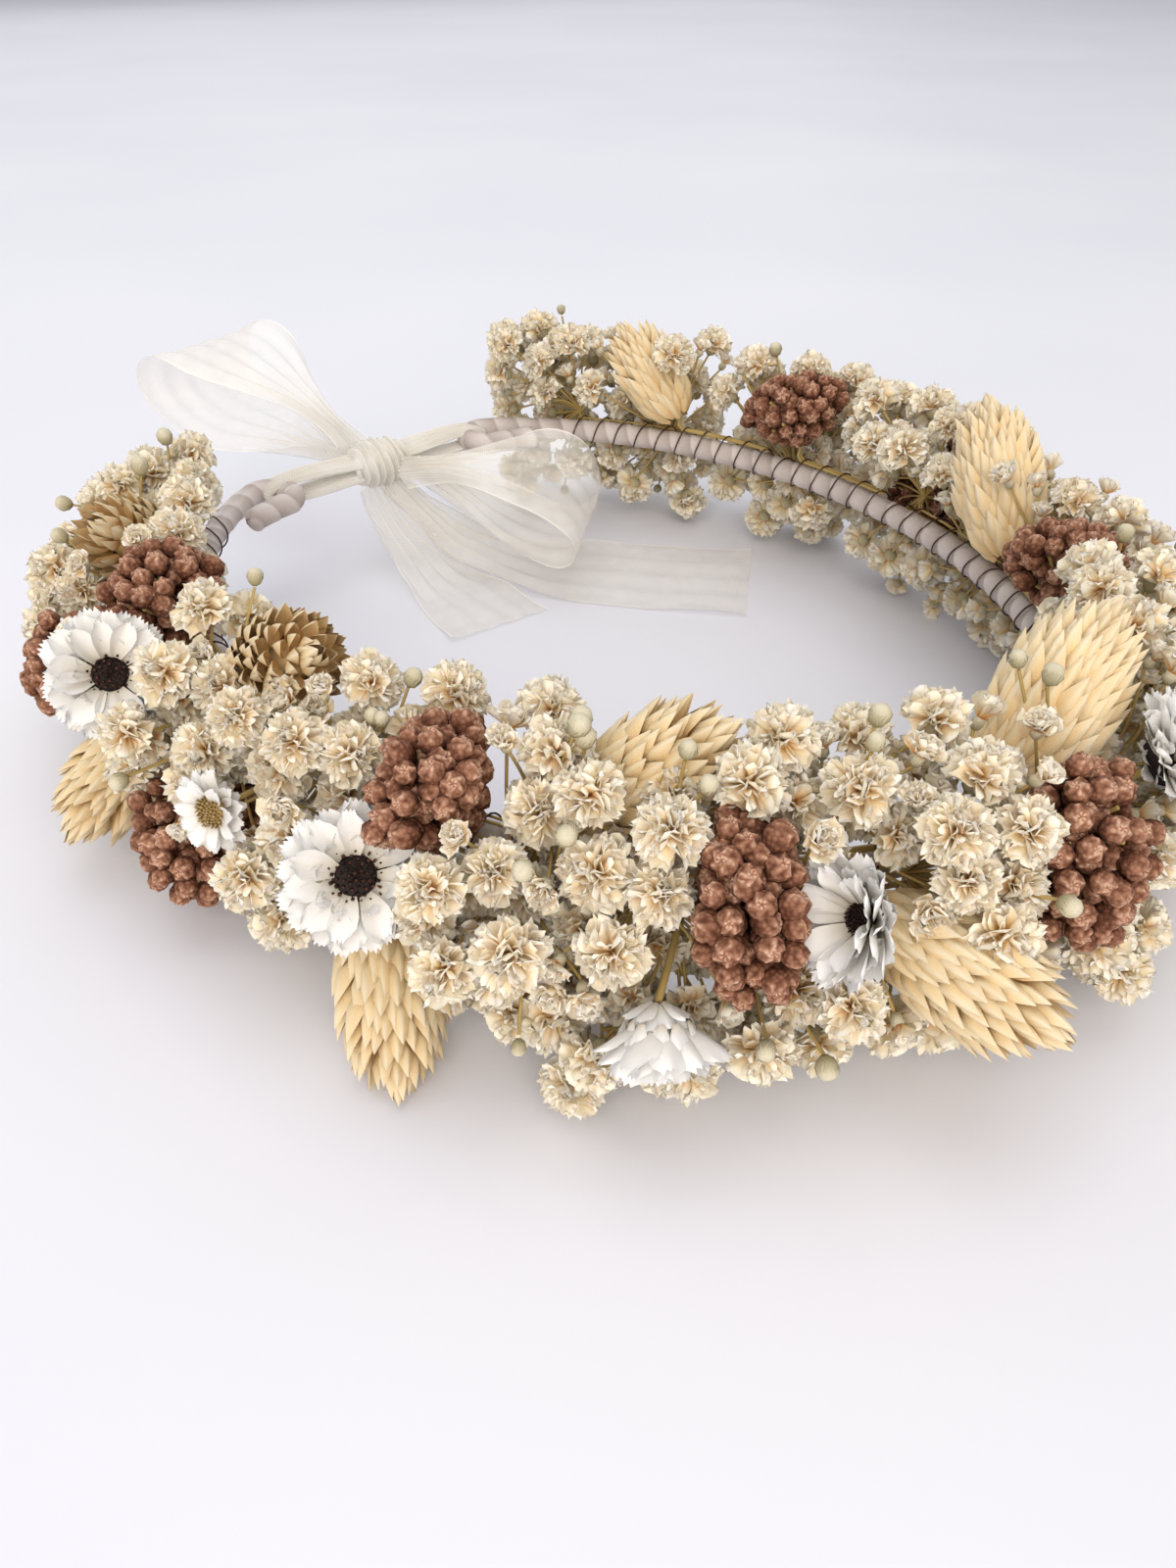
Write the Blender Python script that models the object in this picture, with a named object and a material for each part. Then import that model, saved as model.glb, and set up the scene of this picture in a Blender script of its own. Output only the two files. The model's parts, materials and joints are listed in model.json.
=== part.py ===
"""Dried flower crown: a taped wire hoop with flowers bound round it and an organza bow at the back.

Metres, +Z up.  The crown lies flat on z = 0 with the hoop's centre on the Z axis.  +Y is the back
of the head, where the hoop is open and the ribbon ties it; angles round the hoop are taken from +X.
"""
import math
import random

import bmesh
import bpy
import numpy as np
from mathutils import Vector

for startup_object in list(bpy.data.objects):
    bpy.data.objects.remove(startup_object)

# ---- hoop ----
hoop_half_width = 0.0785        # centreline of the oval, side to side
hoop_half_length = 0.1015       # centreline of the oval, forehead to back
hoop_height = 0.026             # centreline above the table, as the flowers hold it
hoop_left_end = 117.0           # angle where the left eyelet starts
hoop_right_end = 423.0          # angle where the right eyelet starts, one turn on from 63
wire_radius = 0.0010
tape_radius = 0.0029            # outside of the wrapped paper tape
eyelet_radius = 0.0056          # centreline of the turn at each end of the hoop
eyelet_length = 0.015           # how far the turned end runs back beside the hoop
fit_gap = 0.0003                # between pieces that touch
route_spacing = 0.010           # between sections along the hoop and along a bound stem
hoop_colour = (0.45, 0.43, 0.40)
tape_colour = (0.60, 0.55, 0.52)

# ---- binding ----
binding_radius = 0.0002
binding_pitch = 0.0060
binding_inset = 0.004           # bare tape left before the first and after the last turn
binding_steps = 8               # straight runs in one turn of the binding wire
binding_colour = (0.07, 0.045, 0.035)
stem_radius = 0.0007
bound_length = 0.026            # stem held under the binding wire
lane_angles = [-60.0, -30.0, 0.0, 30.0, 60.0, 90.0]     # where stems lie round the tape
lane_margin = 26.0              # degrees past the outer lanes where the wire still clears the stems
lane_fade = 40.0                # degrees over which it then comes down to the bare tape
bend_length = 0.0014            # stem over which it turns out of the binding
bend_rise = 0.6                 # share of a stem's thickness risen by half way round that turn

# ---- flowers ----
phalaris_length = 0.031
phalaris_radius = 0.0068
rice_radius = 0.0140
everlasting_radius = 0.0110
everlasting_depth = 0.0095
daisy_radius = 0.0068
daisy_depth = 0.0060
gypsophila_radius = 0.0180
petal_gap = 0.0004              # between neighbouring heads where they press together
inner_spread = 0.0110           # how far heads may lean in over the wearer's head
spike_share = 0.94              # most of the free stem that a canary grass head may cover
cluster_share = 0.90            # part of the free stem that a clustered head covers

# ---- ribbon ----
knot_radius = 0.0062
knot_half_length = 0.0085
ribbon_width = 0.036
ribbon_fold = 0.0016            # thickness of a gathered tail lying flat
loop_depth = 0.024              # how far a loop of the bow stands open
loop_gap = 0.0015               # between the knot and the gathered root of a loop
loop_offset = 0.0045            # of a loop's root to its own side of the knot's middle
left_loop_end = (-0.016, 0.066, 0.010)      # far end of the loop from the knot's centre
right_loop_end = (0.034, -0.044, -0.011)
right_loop_size = 0.88          # against the left loop
tie_radius = 0.0009             # ribbon gathered into a strand where it passes through an eyelet

# A loop from its root to its far end: share of its length, of its width and of its depth.
loop_outline = [(0.0, 0.18, 0.20), (0.18, 0.50, 0.50), (0.45, 0.92, 0.90), (0.75, 1.0, 1.0),
                (0.93, 0.80, 0.70), (1.0, 0.50, 0.30)]

# The knot from end to end: share of its half length, share of its radius.
knot_outline = [(-1.0, 0.45), (-0.8, 0.80), (-0.35, 1.0), (0.35, 1.0), (0.8, 0.80), (1.0, 0.45)]

# Middle line of each tail from the knot's centre: to the right as a share of the ribbon's width,
# metres farther to the right, metres towards the forehead, share of the drop from the knot to the
# table, and share of the ribbon's width that shows.
tail_lines = {
    "ribbon_tail_left": [(-0.105, 0.0, 0.001, 0.0, 0.16), (-0.08, 0.0, 0.008, 0.31, 0.26),
                         (-0.03, 0.0, 0.017, 0.72, 0.34), (0.02, 0.0, 0.026, 1.0, 0.44),
                         (0.02, 0.0, 0.038, 1.0, 0.58), (0.00, 0.0, 0.052, 1.0, 0.68)],
    "ribbon_tail_right": [(0.105, 0.0, 0.001, 0.0, 0.16), (0.25, 0.0, 0.010, 0.43, 0.26),
                          (0.45, 0.0, 0.020, 0.78, 0.40), (0.80, 0.0, 0.037, 1.0, 0.86),
                          (0.40, 0.031, 0.056, 1.0, 0.97), (0.00, 0.063, 0.075, 1.0, 1.0)],
}

# Heads in order round the hoop: kind, angle where the stem leaves the binding, angle of the tip,
# direction of the tip round the hoop's section (0 outward, 90 up), reach from the hoop in mm,
# and size against the usual one for its kind.
planting = [
    ("gypsophila", 140, 146, 75, 25, 0.95),
    ("phalaris", 147, 158, 60, 29, 1.00),
    ("gypsophila", 150, 155, 0, 32, 1.05),
    ("gypsophila", 157, 161, -45, 33, 1.00),
    ("rice_flower", 163, 168, 62, 25, 0.90),
    ("rice_flower", 160, 164, 6, 34, 0.85),
    ("everlasting", 171, 177, 33, 30, 1.00),
    ("phalaris", 168, 177, -22, 39, 1.00),
    ("phalaris", 178, 196, 80, 29, 1.00),
    ("gypsophila", 181, 186, 35, 31, 1.00),
    ("rice_flower", 182, 190, -25, 33, 0.95),
    ("daisy", 190, 193, 18, 29, 1.00),
    ("gypsophila", 194, 199, 60, 29, 1.00),
    ("gypsophila", 197, 200, -12, 33, 0.95),
    ("everlasting", 205, 207, 16, 28, 1.05),
    ("phalaris", 203, 214, -36, 41, 1.00),
    ("rice_flower", 208, 211, 58, 29, 1.00),
    ("gypsophila", 216, 220, 84, 27, 0.85),
    ("gypsophila", 217, 219, 12, 34, 1.00),
    ("gypsophila", 218, 220, -50, 32, 0.90),
    ("phalaris", 222, 236, 92, 27, 1.05),
    ("gypsophila", 226, 228, 38, 33, 1.00),
    ("gypsophila", 229, 226, -42, 37, 0.90),
    ("everlasting", 231, 230, -8, 30, 0.95),
    ("rice_flower", 236, 236, 28, 30, 1.15),
    ("gypsophila", 240, 242, -45, 32, 0.95),
    ("gypsophila", 243, 247, 80, 27, 1.00),
    ("everlasting", 246, 242, 28, 29, 1.05),
    ("phalaris", 249, 257, 0, 38, 1.00),
    ("gypsophila", 253, 256, 45, 32, 1.05),
    ("phalaris", 265, 285, 86, 31, 1.25),
    ("rice_flower", 266, 267, 26, 29, 1.10),
    ("gypsophila", 266, 270, -36, 33, 1.00),
    ("everlasting", 275, 278, 42, 29, 1.00),
    ("gypsophila", 283, 287, 0, 33, 1.05),
    ("gypsophila", 291, 295, 62, 29, 1.05),
    ("phalaris", 294, 303, -8, 38, 1.00),
    ("gypsophila", 305, 308, -48, 32, 1.00),
    ("everlasting", 306, 309, 28, 29, 1.00),
    ("rice_flower", 312, 317, 86, 24, 0.95),
    ("gypsophila", 321, 325, 8, 32, 1.10),
    ("phalaris", 327, 341, 84, 33, 1.10),
    ("gypsophila", 335, 338, -38, 34, 1.05),
    ("gypsophila", 348, 352, 70, 28, 1.05),
    ("rice_flower", 351, 355, 0, 31, 1.05),
    ("rice_flower", 369, 373, 84, 24, 0.95),
    ("gypsophila", 370, 374, -36, 35, 1.10),
    ("phalaris", 389, 400, 82, 27, 1.00),
    ("gypsophila", 390, 394, -12, 31, 1.10),
    ("gypsophila", 409, 414, 40, 27, 1.10),
]

# How each kind is built: its outline from the base of the head to the tip as (share of the head's
# length, share of its radius), how lumpy it is, and the number of sides of its section.
outlines = {
    "phalaris": [(0.0, 0.40), (0.12, 0.80), (0.35, 1.0), (0.60, 0.92), (0.82, 0.62), (0.95, 0.28)],
    "rice_flower": [(0.0, 0.35), (0.18, 0.80), (0.45, 1.0), (0.72, 0.90), (0.92, 0.50)],
    "gypsophila": [(0.0, 0.35), (0.20, 0.80), (0.45, 1.0), (0.72, 0.92), (0.92, 0.52)],
    "everlasting": [(0.0, 0.22), (0.30, 0.70), (0.62, 0.98), (0.88, 1.0), (0.97, 0.62)],
    "daisy": [(0.0, 0.24), (0.40, 0.72), (0.72, 1.0), (0.94, 0.70)],
}
lumps = {"phalaris": 0.06, "rice_flower": 0.16, "gypsophila": 0.20, "everlasting": 0.05, "daisy": 0.05}
sides = {"phalaris": 8, "rice_flower": 9, "gypsophila": 9, "everlasting": 12, "daisy": 10}

# Colour and roughness of each kind.
looks = {
    "phalaris": ((0.72, 0.54, 0.30), 0.7),
    "rice_flower": ((0.29, 0.13, 0.10), 0.8),
    "gypsophila": ((0.78, 0.68, 0.46), 0.8),
    "everlasting": ((0.86, 0.85, 0.82), 0.6),
    "daisy": ((0.82, 0.78, 0.68), 0.6),
    "ribbon": ((0.86, 0.84, 0.76), 0.6),
}

up = Vector((0, 0, 1))
millimetre = 0.001
lane_radius = tape_radius + fit_gap + stem_radius
binding_outer = (lane_radius + stem_radius + fit_gap + binding_radius) / math.cos(math.pi / binding_steps)
binding_inner = (tape_radius + fit_gap + binding_radius) / math.cos(math.pi / binding_steps)
neck_radius = binding_outer + binding_radius + fit_gap + stem_radius


# ---- the hoop's line ----

line_angles = np.radians(np.linspace(hoop_left_end, hoop_right_end, 1441))
line_points = np.stack([hoop_half_width * np.cos(line_angles), hoop_half_length * np.sin(line_angles)], 1)
line_lengths = np.concatenate([[0.0], np.cumsum(np.linalg.norm(np.diff(line_points, axis=0), axis=1))])
hoop_length = float(line_lengths[-1])


def length_at(degrees):
    """How far along the hoop, from its left end, a given angle lies."""
    return float(np.interp(math.radians(degrees), line_angles, line_lengths))


def hoop_frame(length):
    """Centreline point, outward direction and running direction at a length along the hoop."""
    angle = float(np.interp(length, line_lengths, line_angles))
    point = Vector((hoop_half_width * math.cos(angle), hoop_half_length * math.sin(angle), hoop_height))
    along = Vector((-hoop_half_width * math.sin(angle), hoop_half_length * math.cos(angle), 0)).normalized()
    return point, along.cross(up), along


def round_hoop(length, section, radius):
    """Point beside the hoop: section is in degrees, 0 outward and 90 up."""
    point, outward, along = hoop_frame(length)
    turn = math.radians(section)
    return point + radius * (math.cos(turn) * outward + math.sin(turn) * up)


def hoop_route(spacing):
    """The whole centreline with the turned eyelet at each end, as points."""
    count = max(8, round(hoop_length / spacing))
    middle = [hoop_frame(hoop_length * step / count)[0] for step in range(count + 1)]
    left, right = eyelet_route(0.0, 1.0), eyelet_route(hoop_length, -1.0)
    return left[::-1] + middle + right


def eyelet_route(start, inward_step):
    """Turned end of the hoop: a half turn inward, then back beside the hoop until it touches."""
    point, outward, along = hoop_frame(start)
    ahead = -inward_step * along
    turn_steps, back_steps = 6, 3
    points = []
    for step in range(1, turn_steps + 1):
        turn = math.pi * step / turn_steps
        inward, forward = eyelet_radius * (1 - math.cos(turn)), eyelet_radius * math.sin(turn)
        points.append(point - outward * inward + ahead * forward)
    for step in range(1, back_steps + 1):
        share = step / back_steps
        beside, beside_out, _ = hoop_frame(start + inward_step * eyelet_length * share)
        closed = 2 * tape_radius + 2 * fit_gap
        points.append(beside - beside_out * (2 * eyelet_radius + (closed - 2 * eyelet_radius) * share))
    return points


# ---- building solids ----

def make_object(name, verts, faces, colour, roughness, metallic=0.0, pivot=None):
    """A named object from world points and faces, smooth, with its own material."""
    base = pivot.location if pivot else Vector()
    mesh = bpy.data.meshes.new(name)
    mesh.from_pydata([tuple(v - base) for v in verts], [], faces)
    shape = bmesh.new()
    shape.from_mesh(mesh)
    if shape.calc_volume(signed=True) < 0:
        bmesh.ops.reverse_faces(shape, faces=shape.faces)
    shape.to_mesh(mesh)
    shape.free()
    mesh.shade_smooth()
    mesh.set_sharp_from_angle(angle=math.radians(50))
    material = bpy.data.materials.new(name)
    material.use_nodes = True
    shader = material.node_tree.nodes["Principled BSDF"]
    shader.inputs["Base Color"].default_value = (*colour, 1.0)
    shader.inputs["Roughness"].default_value = roughness
    shader.inputs["Metallic"].default_value = metallic
    material.diffuse_color = (*colour, 1.0)
    mesh.materials.append(material)
    obj = bpy.data.objects.new(name, mesh)
    obj.parent = pivot
    bpy.context.collection.objects.link(obj)
    return obj


def skin(rings, tip=None, closed=False):
    """Points and faces of a body through rings of equal count; ends flat, or pointed at tip."""
    count = len(rings[0])
    verts = [point for ring in rings for point in ring]
    faces = []
    last = len(rings) if closed else len(rings) - 1
    for row in range(last):
        low, high = row * count, (row + 1) % len(rings) * count
        for side in range(count):
            after = (side + 1) % count
            faces.append((low + side, low + after, high + after, high + side))
    if not closed:
        faces.append(tuple(range(count))[::-1])
        base = (len(rings) - 1) * count
        if tip is None:
            faces.append(tuple(base + side for side in range(count)))
        else:
            verts.append(tip)
            faces += [(base + side, base + (side + 1) % count, len(verts) - 1) for side in range(count)]
    return verts, faces


def route_frames(points, first_side):
    """Direction and two side vectors at each point of a route, turning as little as possible."""
    runs = [(b - a).normalized() for a, b in zip(points, points[1:])]
    directions = [runs[0]] + [(a + b).normalized() for a, b in zip(runs, runs[1:])] + [runs[-1]]
    side = first_side
    frames = []
    for direction in directions:
        side = (side - direction * side.dot(direction)).normalized()
        frames.append((direction, side, direction.cross(side)))
    return frames


def tube_rings(points, radius, count, first_side):
    """Rings of one radius along a route."""
    rings = []
    for point, (direction, side, other) in zip(points, route_frames(points, first_side)):
        rings.append([point + radius * (math.cos(turn) * side + math.sin(turn) * other)
                      for turn in np.linspace(0, 2 * math.pi, count, endpoint=False)])
    return rings


# ---- hoop, tape and binding ----

def build_hoop():
    route = hoop_route(route_spacing)
    verts, faces = skin(tube_rings(route, wire_radius, 6, up))
    make_object("hoop_wire", verts, faces, hoop_colour, 0.35, 1.0)

    outer = tube_rings(route, tape_radius, 10, up)
    inner = tube_rings(route, wire_radius + fit_gap, 10, up)
    verts, faces = tape_sleeve(outer, inner)
    make_object("hoop_tape", verts, faces, tape_colour, 0.75)


def tape_sleeve(outer, inner):
    """An open tube with a wall: outer skin, inner skin and the two cut ends."""
    count, rows = len(outer[0]), len(outer)
    verts = [p for ring in outer for p in ring] + [p for ring in inner for p in ring]
    offset = rows * count
    faces = []
    for row in range(rows - 1):
        for side in range(count):
            after = (side + 1) % count
            a, b = row * count + side, row * count + after
            faces.append((a, b, b + count, a + count))
            faces.append((offset + b, offset + a, offset + a + count, offset + b + count))
    for row in (0, rows - 1):
        for side in range(count):
            a, b = row * count + side, row * count + (side + 1) % count
            face = (b, a, offset + a, offset + b)
            faces.append(face if row == 0 else face[::-1])
    return verts, faces


def binding_distance(section):
    """Distance of the binding wire from the hoop's centreline: over the stems, or on bare tape."""
    low, high = lane_angles[0] - lane_margin, lane_angles[-1] + lane_margin
    section = (section + 180.0) % 360.0 - 180.0
    beyond = max(low - section, section - high, 0.0)
    share = min(1.0, beyond / lane_fade)
    return binding_outer + (binding_inner - binding_outer) * share


binding_start = eyelet_length + binding_inset
binding_turns = int((hoop_length - 2 * binding_start) / binding_pitch)


def build_binding():
    points = []
    for step in range(binding_turns * binding_steps + 1):
        section = 360.0 * step / binding_steps
        length = binding_start + binding_pitch * step / binding_steps
        points.append(round_hoop(length, section, binding_distance(section)))
    outward = hoop_frame(binding_start)[1]
    verts, faces = skin(tube_rings(points, binding_radius, 3, outward))
    make_object("binding_wire", verts, faces, binding_colour, 0.4, 1.0)


# ---- flowers ----

def between_turns(length, section):
    """The length nearest to the one given where a stem passes midway between two turns of wire."""
    turn = round((length - binding_start) / binding_pitch - section / 360.0 - 0.5)
    turn = min(max(turn, 1), binding_turns - 1)
    return binding_start + binding_pitch * (turn + 0.5 + section / 360.0)


def head_size(kind, scale, core_length):
    """Length and radius of a head on its stem."""
    if kind == "phalaris":
        return min(phalaris_length * scale, core_length * spike_share), phalaris_radius * scale
    if kind == "everlasting":
        return everlasting_depth, everlasting_radius * scale
    if kind == "daisy":
        return daisy_depth, daisy_radius * scale
    radius = rice_radius if kind == "rice_flower" else gypsophila_radius
    return core_length * cluster_share, radius * scale


def plan_flowers():
    """Work out where every stem lies and leaves the binding, and the line of its head."""
    plans, counts = [], {}
    for kind, leaves, tip_angle, section, reach, scale in planting:
        lane = min(lane_angles, key=lambda angle: abs(angle - section))
        exit_length = between_turns(length_at(leaves), lane)
        lean = length_at(tip_angle) - length_at(leaves)
        neck = round_hoop(exit_length, lane, neck_radius)
        tip = round_hoop(exit_length + lean, section, reach * millimetre)
        head_length, radius = head_size(kind, scale, (tip - neck).length)
        counts[kind] = counts.get(kind, 0) + 1
        plans.append({"name": f"{kind}_{counts[kind]}", "kind": kind, "lane": lane, "exit": exit_length,
                      "neck": neck, "tip": tip, "head": head_length, "radius": radius, "walls": []})
    share_lanes(plans)
    share_space(plans)
    return plans


def share_lanes(plans):
    """Each stem is cut where the one before it in the same lane leaves the binding."""
    for lane in lane_angles:
        row = sorted((plan for plan in plans if plan["lane"] == lane), key=lambda plan: plan["exit"])
        free_from = binding_start
        for plan in row:
            plan["cut"] = max(plan["exit"] - bound_length, free_from)
            free_from = plan["exit"] + 3 * stem_radius + fit_gap


def nearest_points(a, b, c, d):
    """Nearest points of the segments a-b and c-d."""
    first, second, between = b - a, d - c, a - c
    aa, cc, ac = first.dot(first), second.dot(second), first.dot(second)
    fa, fc = first.dot(between), second.dot(between)
    spread = aa * cc - ac * ac
    s = min(max((ac * fc - fa * cc) / spread, 0.0), 1.0) if spread > 1e-12 else 0.0
    t = min(max((ac * s + fc) / cc, 0.0), 1.0)
    s = min(max((ac * t - fa) / aa, 0.0), 1.0)
    return a + first * s, c + second * t


def share_space(plans):
    """Flat walls round each head: its neighbours, the table, the bound stems and the wearer's head."""
    for index, plan in enumerate(plans):
        centre, outward, _ = hoop_frame(plan["exit"])
        away = (plan["neck"] - centre).normalized()
        plan["walls"].append((-away, -away.dot(plan["neck"])))
        plan["walls"].append((-outward, inner_spread - outward.dot(centre)))
        plan["walls"].append((-up, 0.0))
        for other in plans[index + 1:]:
            here, there = nearest_points(plan["neck"], plan["tip"], other["neck"], other["tip"])
            across = there - here
            if across.length > plan["radius"] + other["radius"] + phalaris_length:
                continue
            share = plan["radius"] / (plan["radius"] + other["radius"])
            direction = across.normalized()
            wall = direction.dot(here + across * share)
            plan["walls"].append((direction, wall - petal_gap / 2))
            other["walls"].append((-direction, -wall - petal_gap / 2))


def fit_radius(centre, direction, radius, walls):
    """Longest step from centre, up to radius, that stays inside every wall."""
    for normal, wall in walls:
        slope = normal.dot(direction)
        if slope > 1e-6:
            radius = min(radius, (wall - normal.dot(centre)) / slope)
    return max(radius, stem_radius * 0.4)


def build_flower(plan, seed):
    """One flower: stem under the binding, neck between two turns of wire, and the head."""
    rng = random.Random(seed)
    kind = plan["kind"]
    bound_end = plan["exit"] - bend_length
    pieces = max(1, round((bound_end - plan["cut"]) / route_spacing))
    route = [round_hoop(plan["cut"] + (bound_end - plan["cut"]) * step / pieces, plan["lane"], lane_radius)
             for step in range(pieces + 1)]
    route.append(round_hoop(plan["exit"], plan["lane"], lane_radius + 2 * stem_radius * bend_rise))
    route.append(plan["neck"])
    stem_points = len(route)
    core = plan["tip"] - plan["neck"]
    base_share = 1.0 - plan["head"] / core.length
    outline = outlines[kind]
    route += [plan["neck"] + core * (base_share + (1 - base_share) * share) for share, _ in outline]
    frames = route_frames(route + [plan["tip"]], hoop_frame(plan["cut"])[1])

    rings = []
    for row, point in enumerate(route):
        direction, side, other = frames[row]
        ring = []
        for turn in np.linspace(0, 2 * math.pi, sides[kind], endpoint=False):
            ray = math.cos(turn) * side + math.sin(turn) * other
            radius = stem_radius
            if row >= stem_points:
                bump = 1 + lumps[kind] * rng.uniform(-1, 0.6)
                wanted = max(stem_radius, plan["radius"] * outline[row - stem_points][1] * bump)
                radius = fit_radius(point, ray, wanted, plan["walls"])
            ring.append(point + ray * radius)
        rings.append(ring)
    verts, faces = skin(rings, tip=plan["tip"])
    make_object(plan["name"], verts, faces, *looks[kind])


# ---- ribbon ----

def eyelet_apex(start, inward_step):
    """Middle of the turned end of the hoop, and the direction it points in."""
    point, outward, along = hoop_frame(start)
    ahead = -inward_step * along
    return point - outward * eyelet_radius + ahead * eyelet_radius, ahead


left_apex, left_ahead = eyelet_apex(0.0, 1.0)
right_apex, right_ahead = eyelet_apex(hoop_length, -1.0)
knot_centre = (left_apex + right_apex) / 2


def add_pivot(name):
    """An empty on the line between the eyelets, which the bow turns about."""
    pivot = bpy.data.objects.new(name, None)
    pivot.location = knot_centre
    bpy.context.collection.objects.link(pivot)
    return pivot


def build_ties():
    """Gathered strands from the knot, round the turned end of each eyelet and back to the knot."""
    wrap = tape_radius + fit_gap + tie_radius
    for name, apex, ahead, sign in (("ribbon_tie_left", left_apex, left_ahead, -1),
                                    ("ribbon_tie_right", right_apex, right_ahead, 1)):
        knot_end = knot_centre + Vector((sign * (knot_half_length + fit_gap), 0, 0))
        beside = up * (tie_radius + fit_gap / 2)
        half = [apex + wrap * (math.cos(turn) * ahead + math.sin(turn) * up)
                for turn in np.radians([180, 150, 120, 90, 60])]
        half += [apex.lerp(knot_end, 0.5) + up * (wrap + tie_radius) / 2, knot_end + beside]
        mirrored = [Vector((p.x, p.y, 2 * hoop_height - p.z)) for p in half[1:]]
        verts, faces = skin(tube_rings(mirrored[::-1] + half, tie_radius, 8, Vector((0, 1, 0))))
        make_object(name, verts, faces, *looks["ribbon"])


def build_knot(pivot):
    """Gathered knot, round about the line between the eyelets."""
    rings = []
    for along, share in knot_outline:
        centre = knot_centre + Vector((along * knot_half_length, 0, 0))
        rings.append([centre + knot_radius * share * Vector((0, math.cos(turn), math.sin(turn)))
                      for turn in np.linspace(0, 2 * math.pi, 12, endpoint=False)])
    verts, faces = skin(rings)
    make_object("ribbon_knot", verts, faces, *looks["ribbon"], pivot=pivot)


def ribbon_body(name, route, widths, depths, pivot):
    """A soft ribbon shape: rounded flat sections of given width and depth along a route."""
    rings = []
    frames = route_frames(route, Vector((1, 0, 0)))
    for point, width, depth, (_, side, other) in zip(route, widths, depths, frames):
        ring = []
        for turn in np.linspace(0, 2 * math.pi, 12, endpoint=False):
            place = point + side * width / 2 * math.cos(turn) + other * depth / 2 * math.sin(turn)
            place.z = max(place.z, fit_gap)
            ring.append(place)
        rings.append(ring)
    verts, faces = skin(rings)
    make_object(name, verts, faces, *looks["ribbon"], pivot=pivot)


def build_loops(pivot):
    """Two puffed loops: the left one stands out behind, the right one falls forward to the table."""
    for name, sign, loop_end, size in (("ribbon_loop_left", 1, left_loop_end, 1.0),
                                       ("ribbon_loop_right", -1, right_loop_end, right_loop_size)):
        root = Vector((-sign * loop_offset, sign * (knot_radius + loop_gap), 0))
        route = [knot_centre + root.lerp(Vector(loop_end), along) for along, _, _ in loop_outline]
        widths = [ribbon_width * size * share for _, share, _ in loop_outline]
        depths = [loop_depth * size * share for _, _, share in loop_outline]
        ribbon_body(name, route, widths, depths, pivot)


def build_tails(left_pivot, right_pivot):
    """Tails that drop from under the knot, lie on the table and end in a straight cut."""
    under = -knot_radius - 2 * fit_gap - ribbon_fold / 2
    lie = fit_gap + ribbon_fold / 2 - hoop_height
    for name, pivot in (("ribbon_tail_left", left_pivot), ("ribbon_tail_right", right_pivot)):
        line = tail_lines[name]
        route = [knot_centre + Vector((ribbon_width * right + farther, -ahead, under + (lie - under) * drop))
                 for right, farther, ahead, drop, _ in line]
        widths = [ribbon_width * share for *_, share in line]
        ribbon_body(name, route, widths, [ribbon_fold] * len(line), pivot)


build_hoop()
build_binding()
for number, flower in enumerate(plan_flowers()):
    build_flower(flower, number)
build_ties()
bow = add_pivot("bow_pivot")
build_knot(bow)
build_loops(bow)
build_tails(add_pivot("tail_left_pivot"), add_pivot("tail_right_pivot"))
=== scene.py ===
import json
import math
import random

import bpy
import numpy as np
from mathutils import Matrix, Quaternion, Vector
from mathutils.bvhtree import BVHTree

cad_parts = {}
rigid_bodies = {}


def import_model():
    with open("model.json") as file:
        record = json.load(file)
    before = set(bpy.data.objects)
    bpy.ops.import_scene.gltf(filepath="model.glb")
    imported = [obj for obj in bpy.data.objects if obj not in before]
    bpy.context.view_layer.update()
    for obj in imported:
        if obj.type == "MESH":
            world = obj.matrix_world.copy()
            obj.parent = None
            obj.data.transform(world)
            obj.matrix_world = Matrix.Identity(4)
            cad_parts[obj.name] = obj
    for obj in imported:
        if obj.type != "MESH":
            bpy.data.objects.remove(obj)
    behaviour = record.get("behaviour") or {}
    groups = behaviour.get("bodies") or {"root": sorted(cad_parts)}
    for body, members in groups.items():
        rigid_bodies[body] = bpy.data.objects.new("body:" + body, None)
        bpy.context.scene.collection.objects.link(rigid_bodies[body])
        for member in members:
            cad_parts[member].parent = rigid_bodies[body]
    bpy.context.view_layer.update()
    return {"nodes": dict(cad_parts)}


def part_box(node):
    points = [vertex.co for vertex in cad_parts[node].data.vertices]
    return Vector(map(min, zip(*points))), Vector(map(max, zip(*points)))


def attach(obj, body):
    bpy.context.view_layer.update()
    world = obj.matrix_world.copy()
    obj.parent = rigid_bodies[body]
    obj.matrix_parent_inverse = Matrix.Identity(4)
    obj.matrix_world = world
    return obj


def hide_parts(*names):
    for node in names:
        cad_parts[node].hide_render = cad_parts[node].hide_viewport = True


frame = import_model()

mm = 0.001
up = Vector((0, 0, 1))
goldenTurn = math.pi * (3 - math.sqrt(5))

# the oval hoop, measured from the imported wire
wireLow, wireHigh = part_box("hoop_wire")
wireRadius = (wireHigh.z - wireLow.z) / 2
hoop = {
    "height": (wireHigh.z + wireLow.z) / 2,
    "halfWidth": (wireHigh.x - wireLow.x) / 2 - wireRadius,
    "halfLength": -wireLow.y - wireRadius,
    "leftEnd": math.radians(117),      # where each turned end starts, round from +X
    "rightEnd": math.radians(423),
    "eyeletRadius": 5.6 * mm,
    "eyeletLength": 15 * mm,
    "stemLine": 3.9 * mm,              # bound stems lie this far from the hoop's line
    "stemLane": 5.2 * mm,              # and nothing of a bound stem is farther out than this
    "neck": 6.9 * mm,                  # where a stem has left the binding wire
}
ovalAngles = np.linspace(0, 2 * math.pi, 2880, endpoint=False)
ovalPoints = np.stack([hoop["halfWidth"] * np.cos(ovalAngles), hoop["halfLength"] * np.sin(ovalAngles)], 1)


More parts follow.
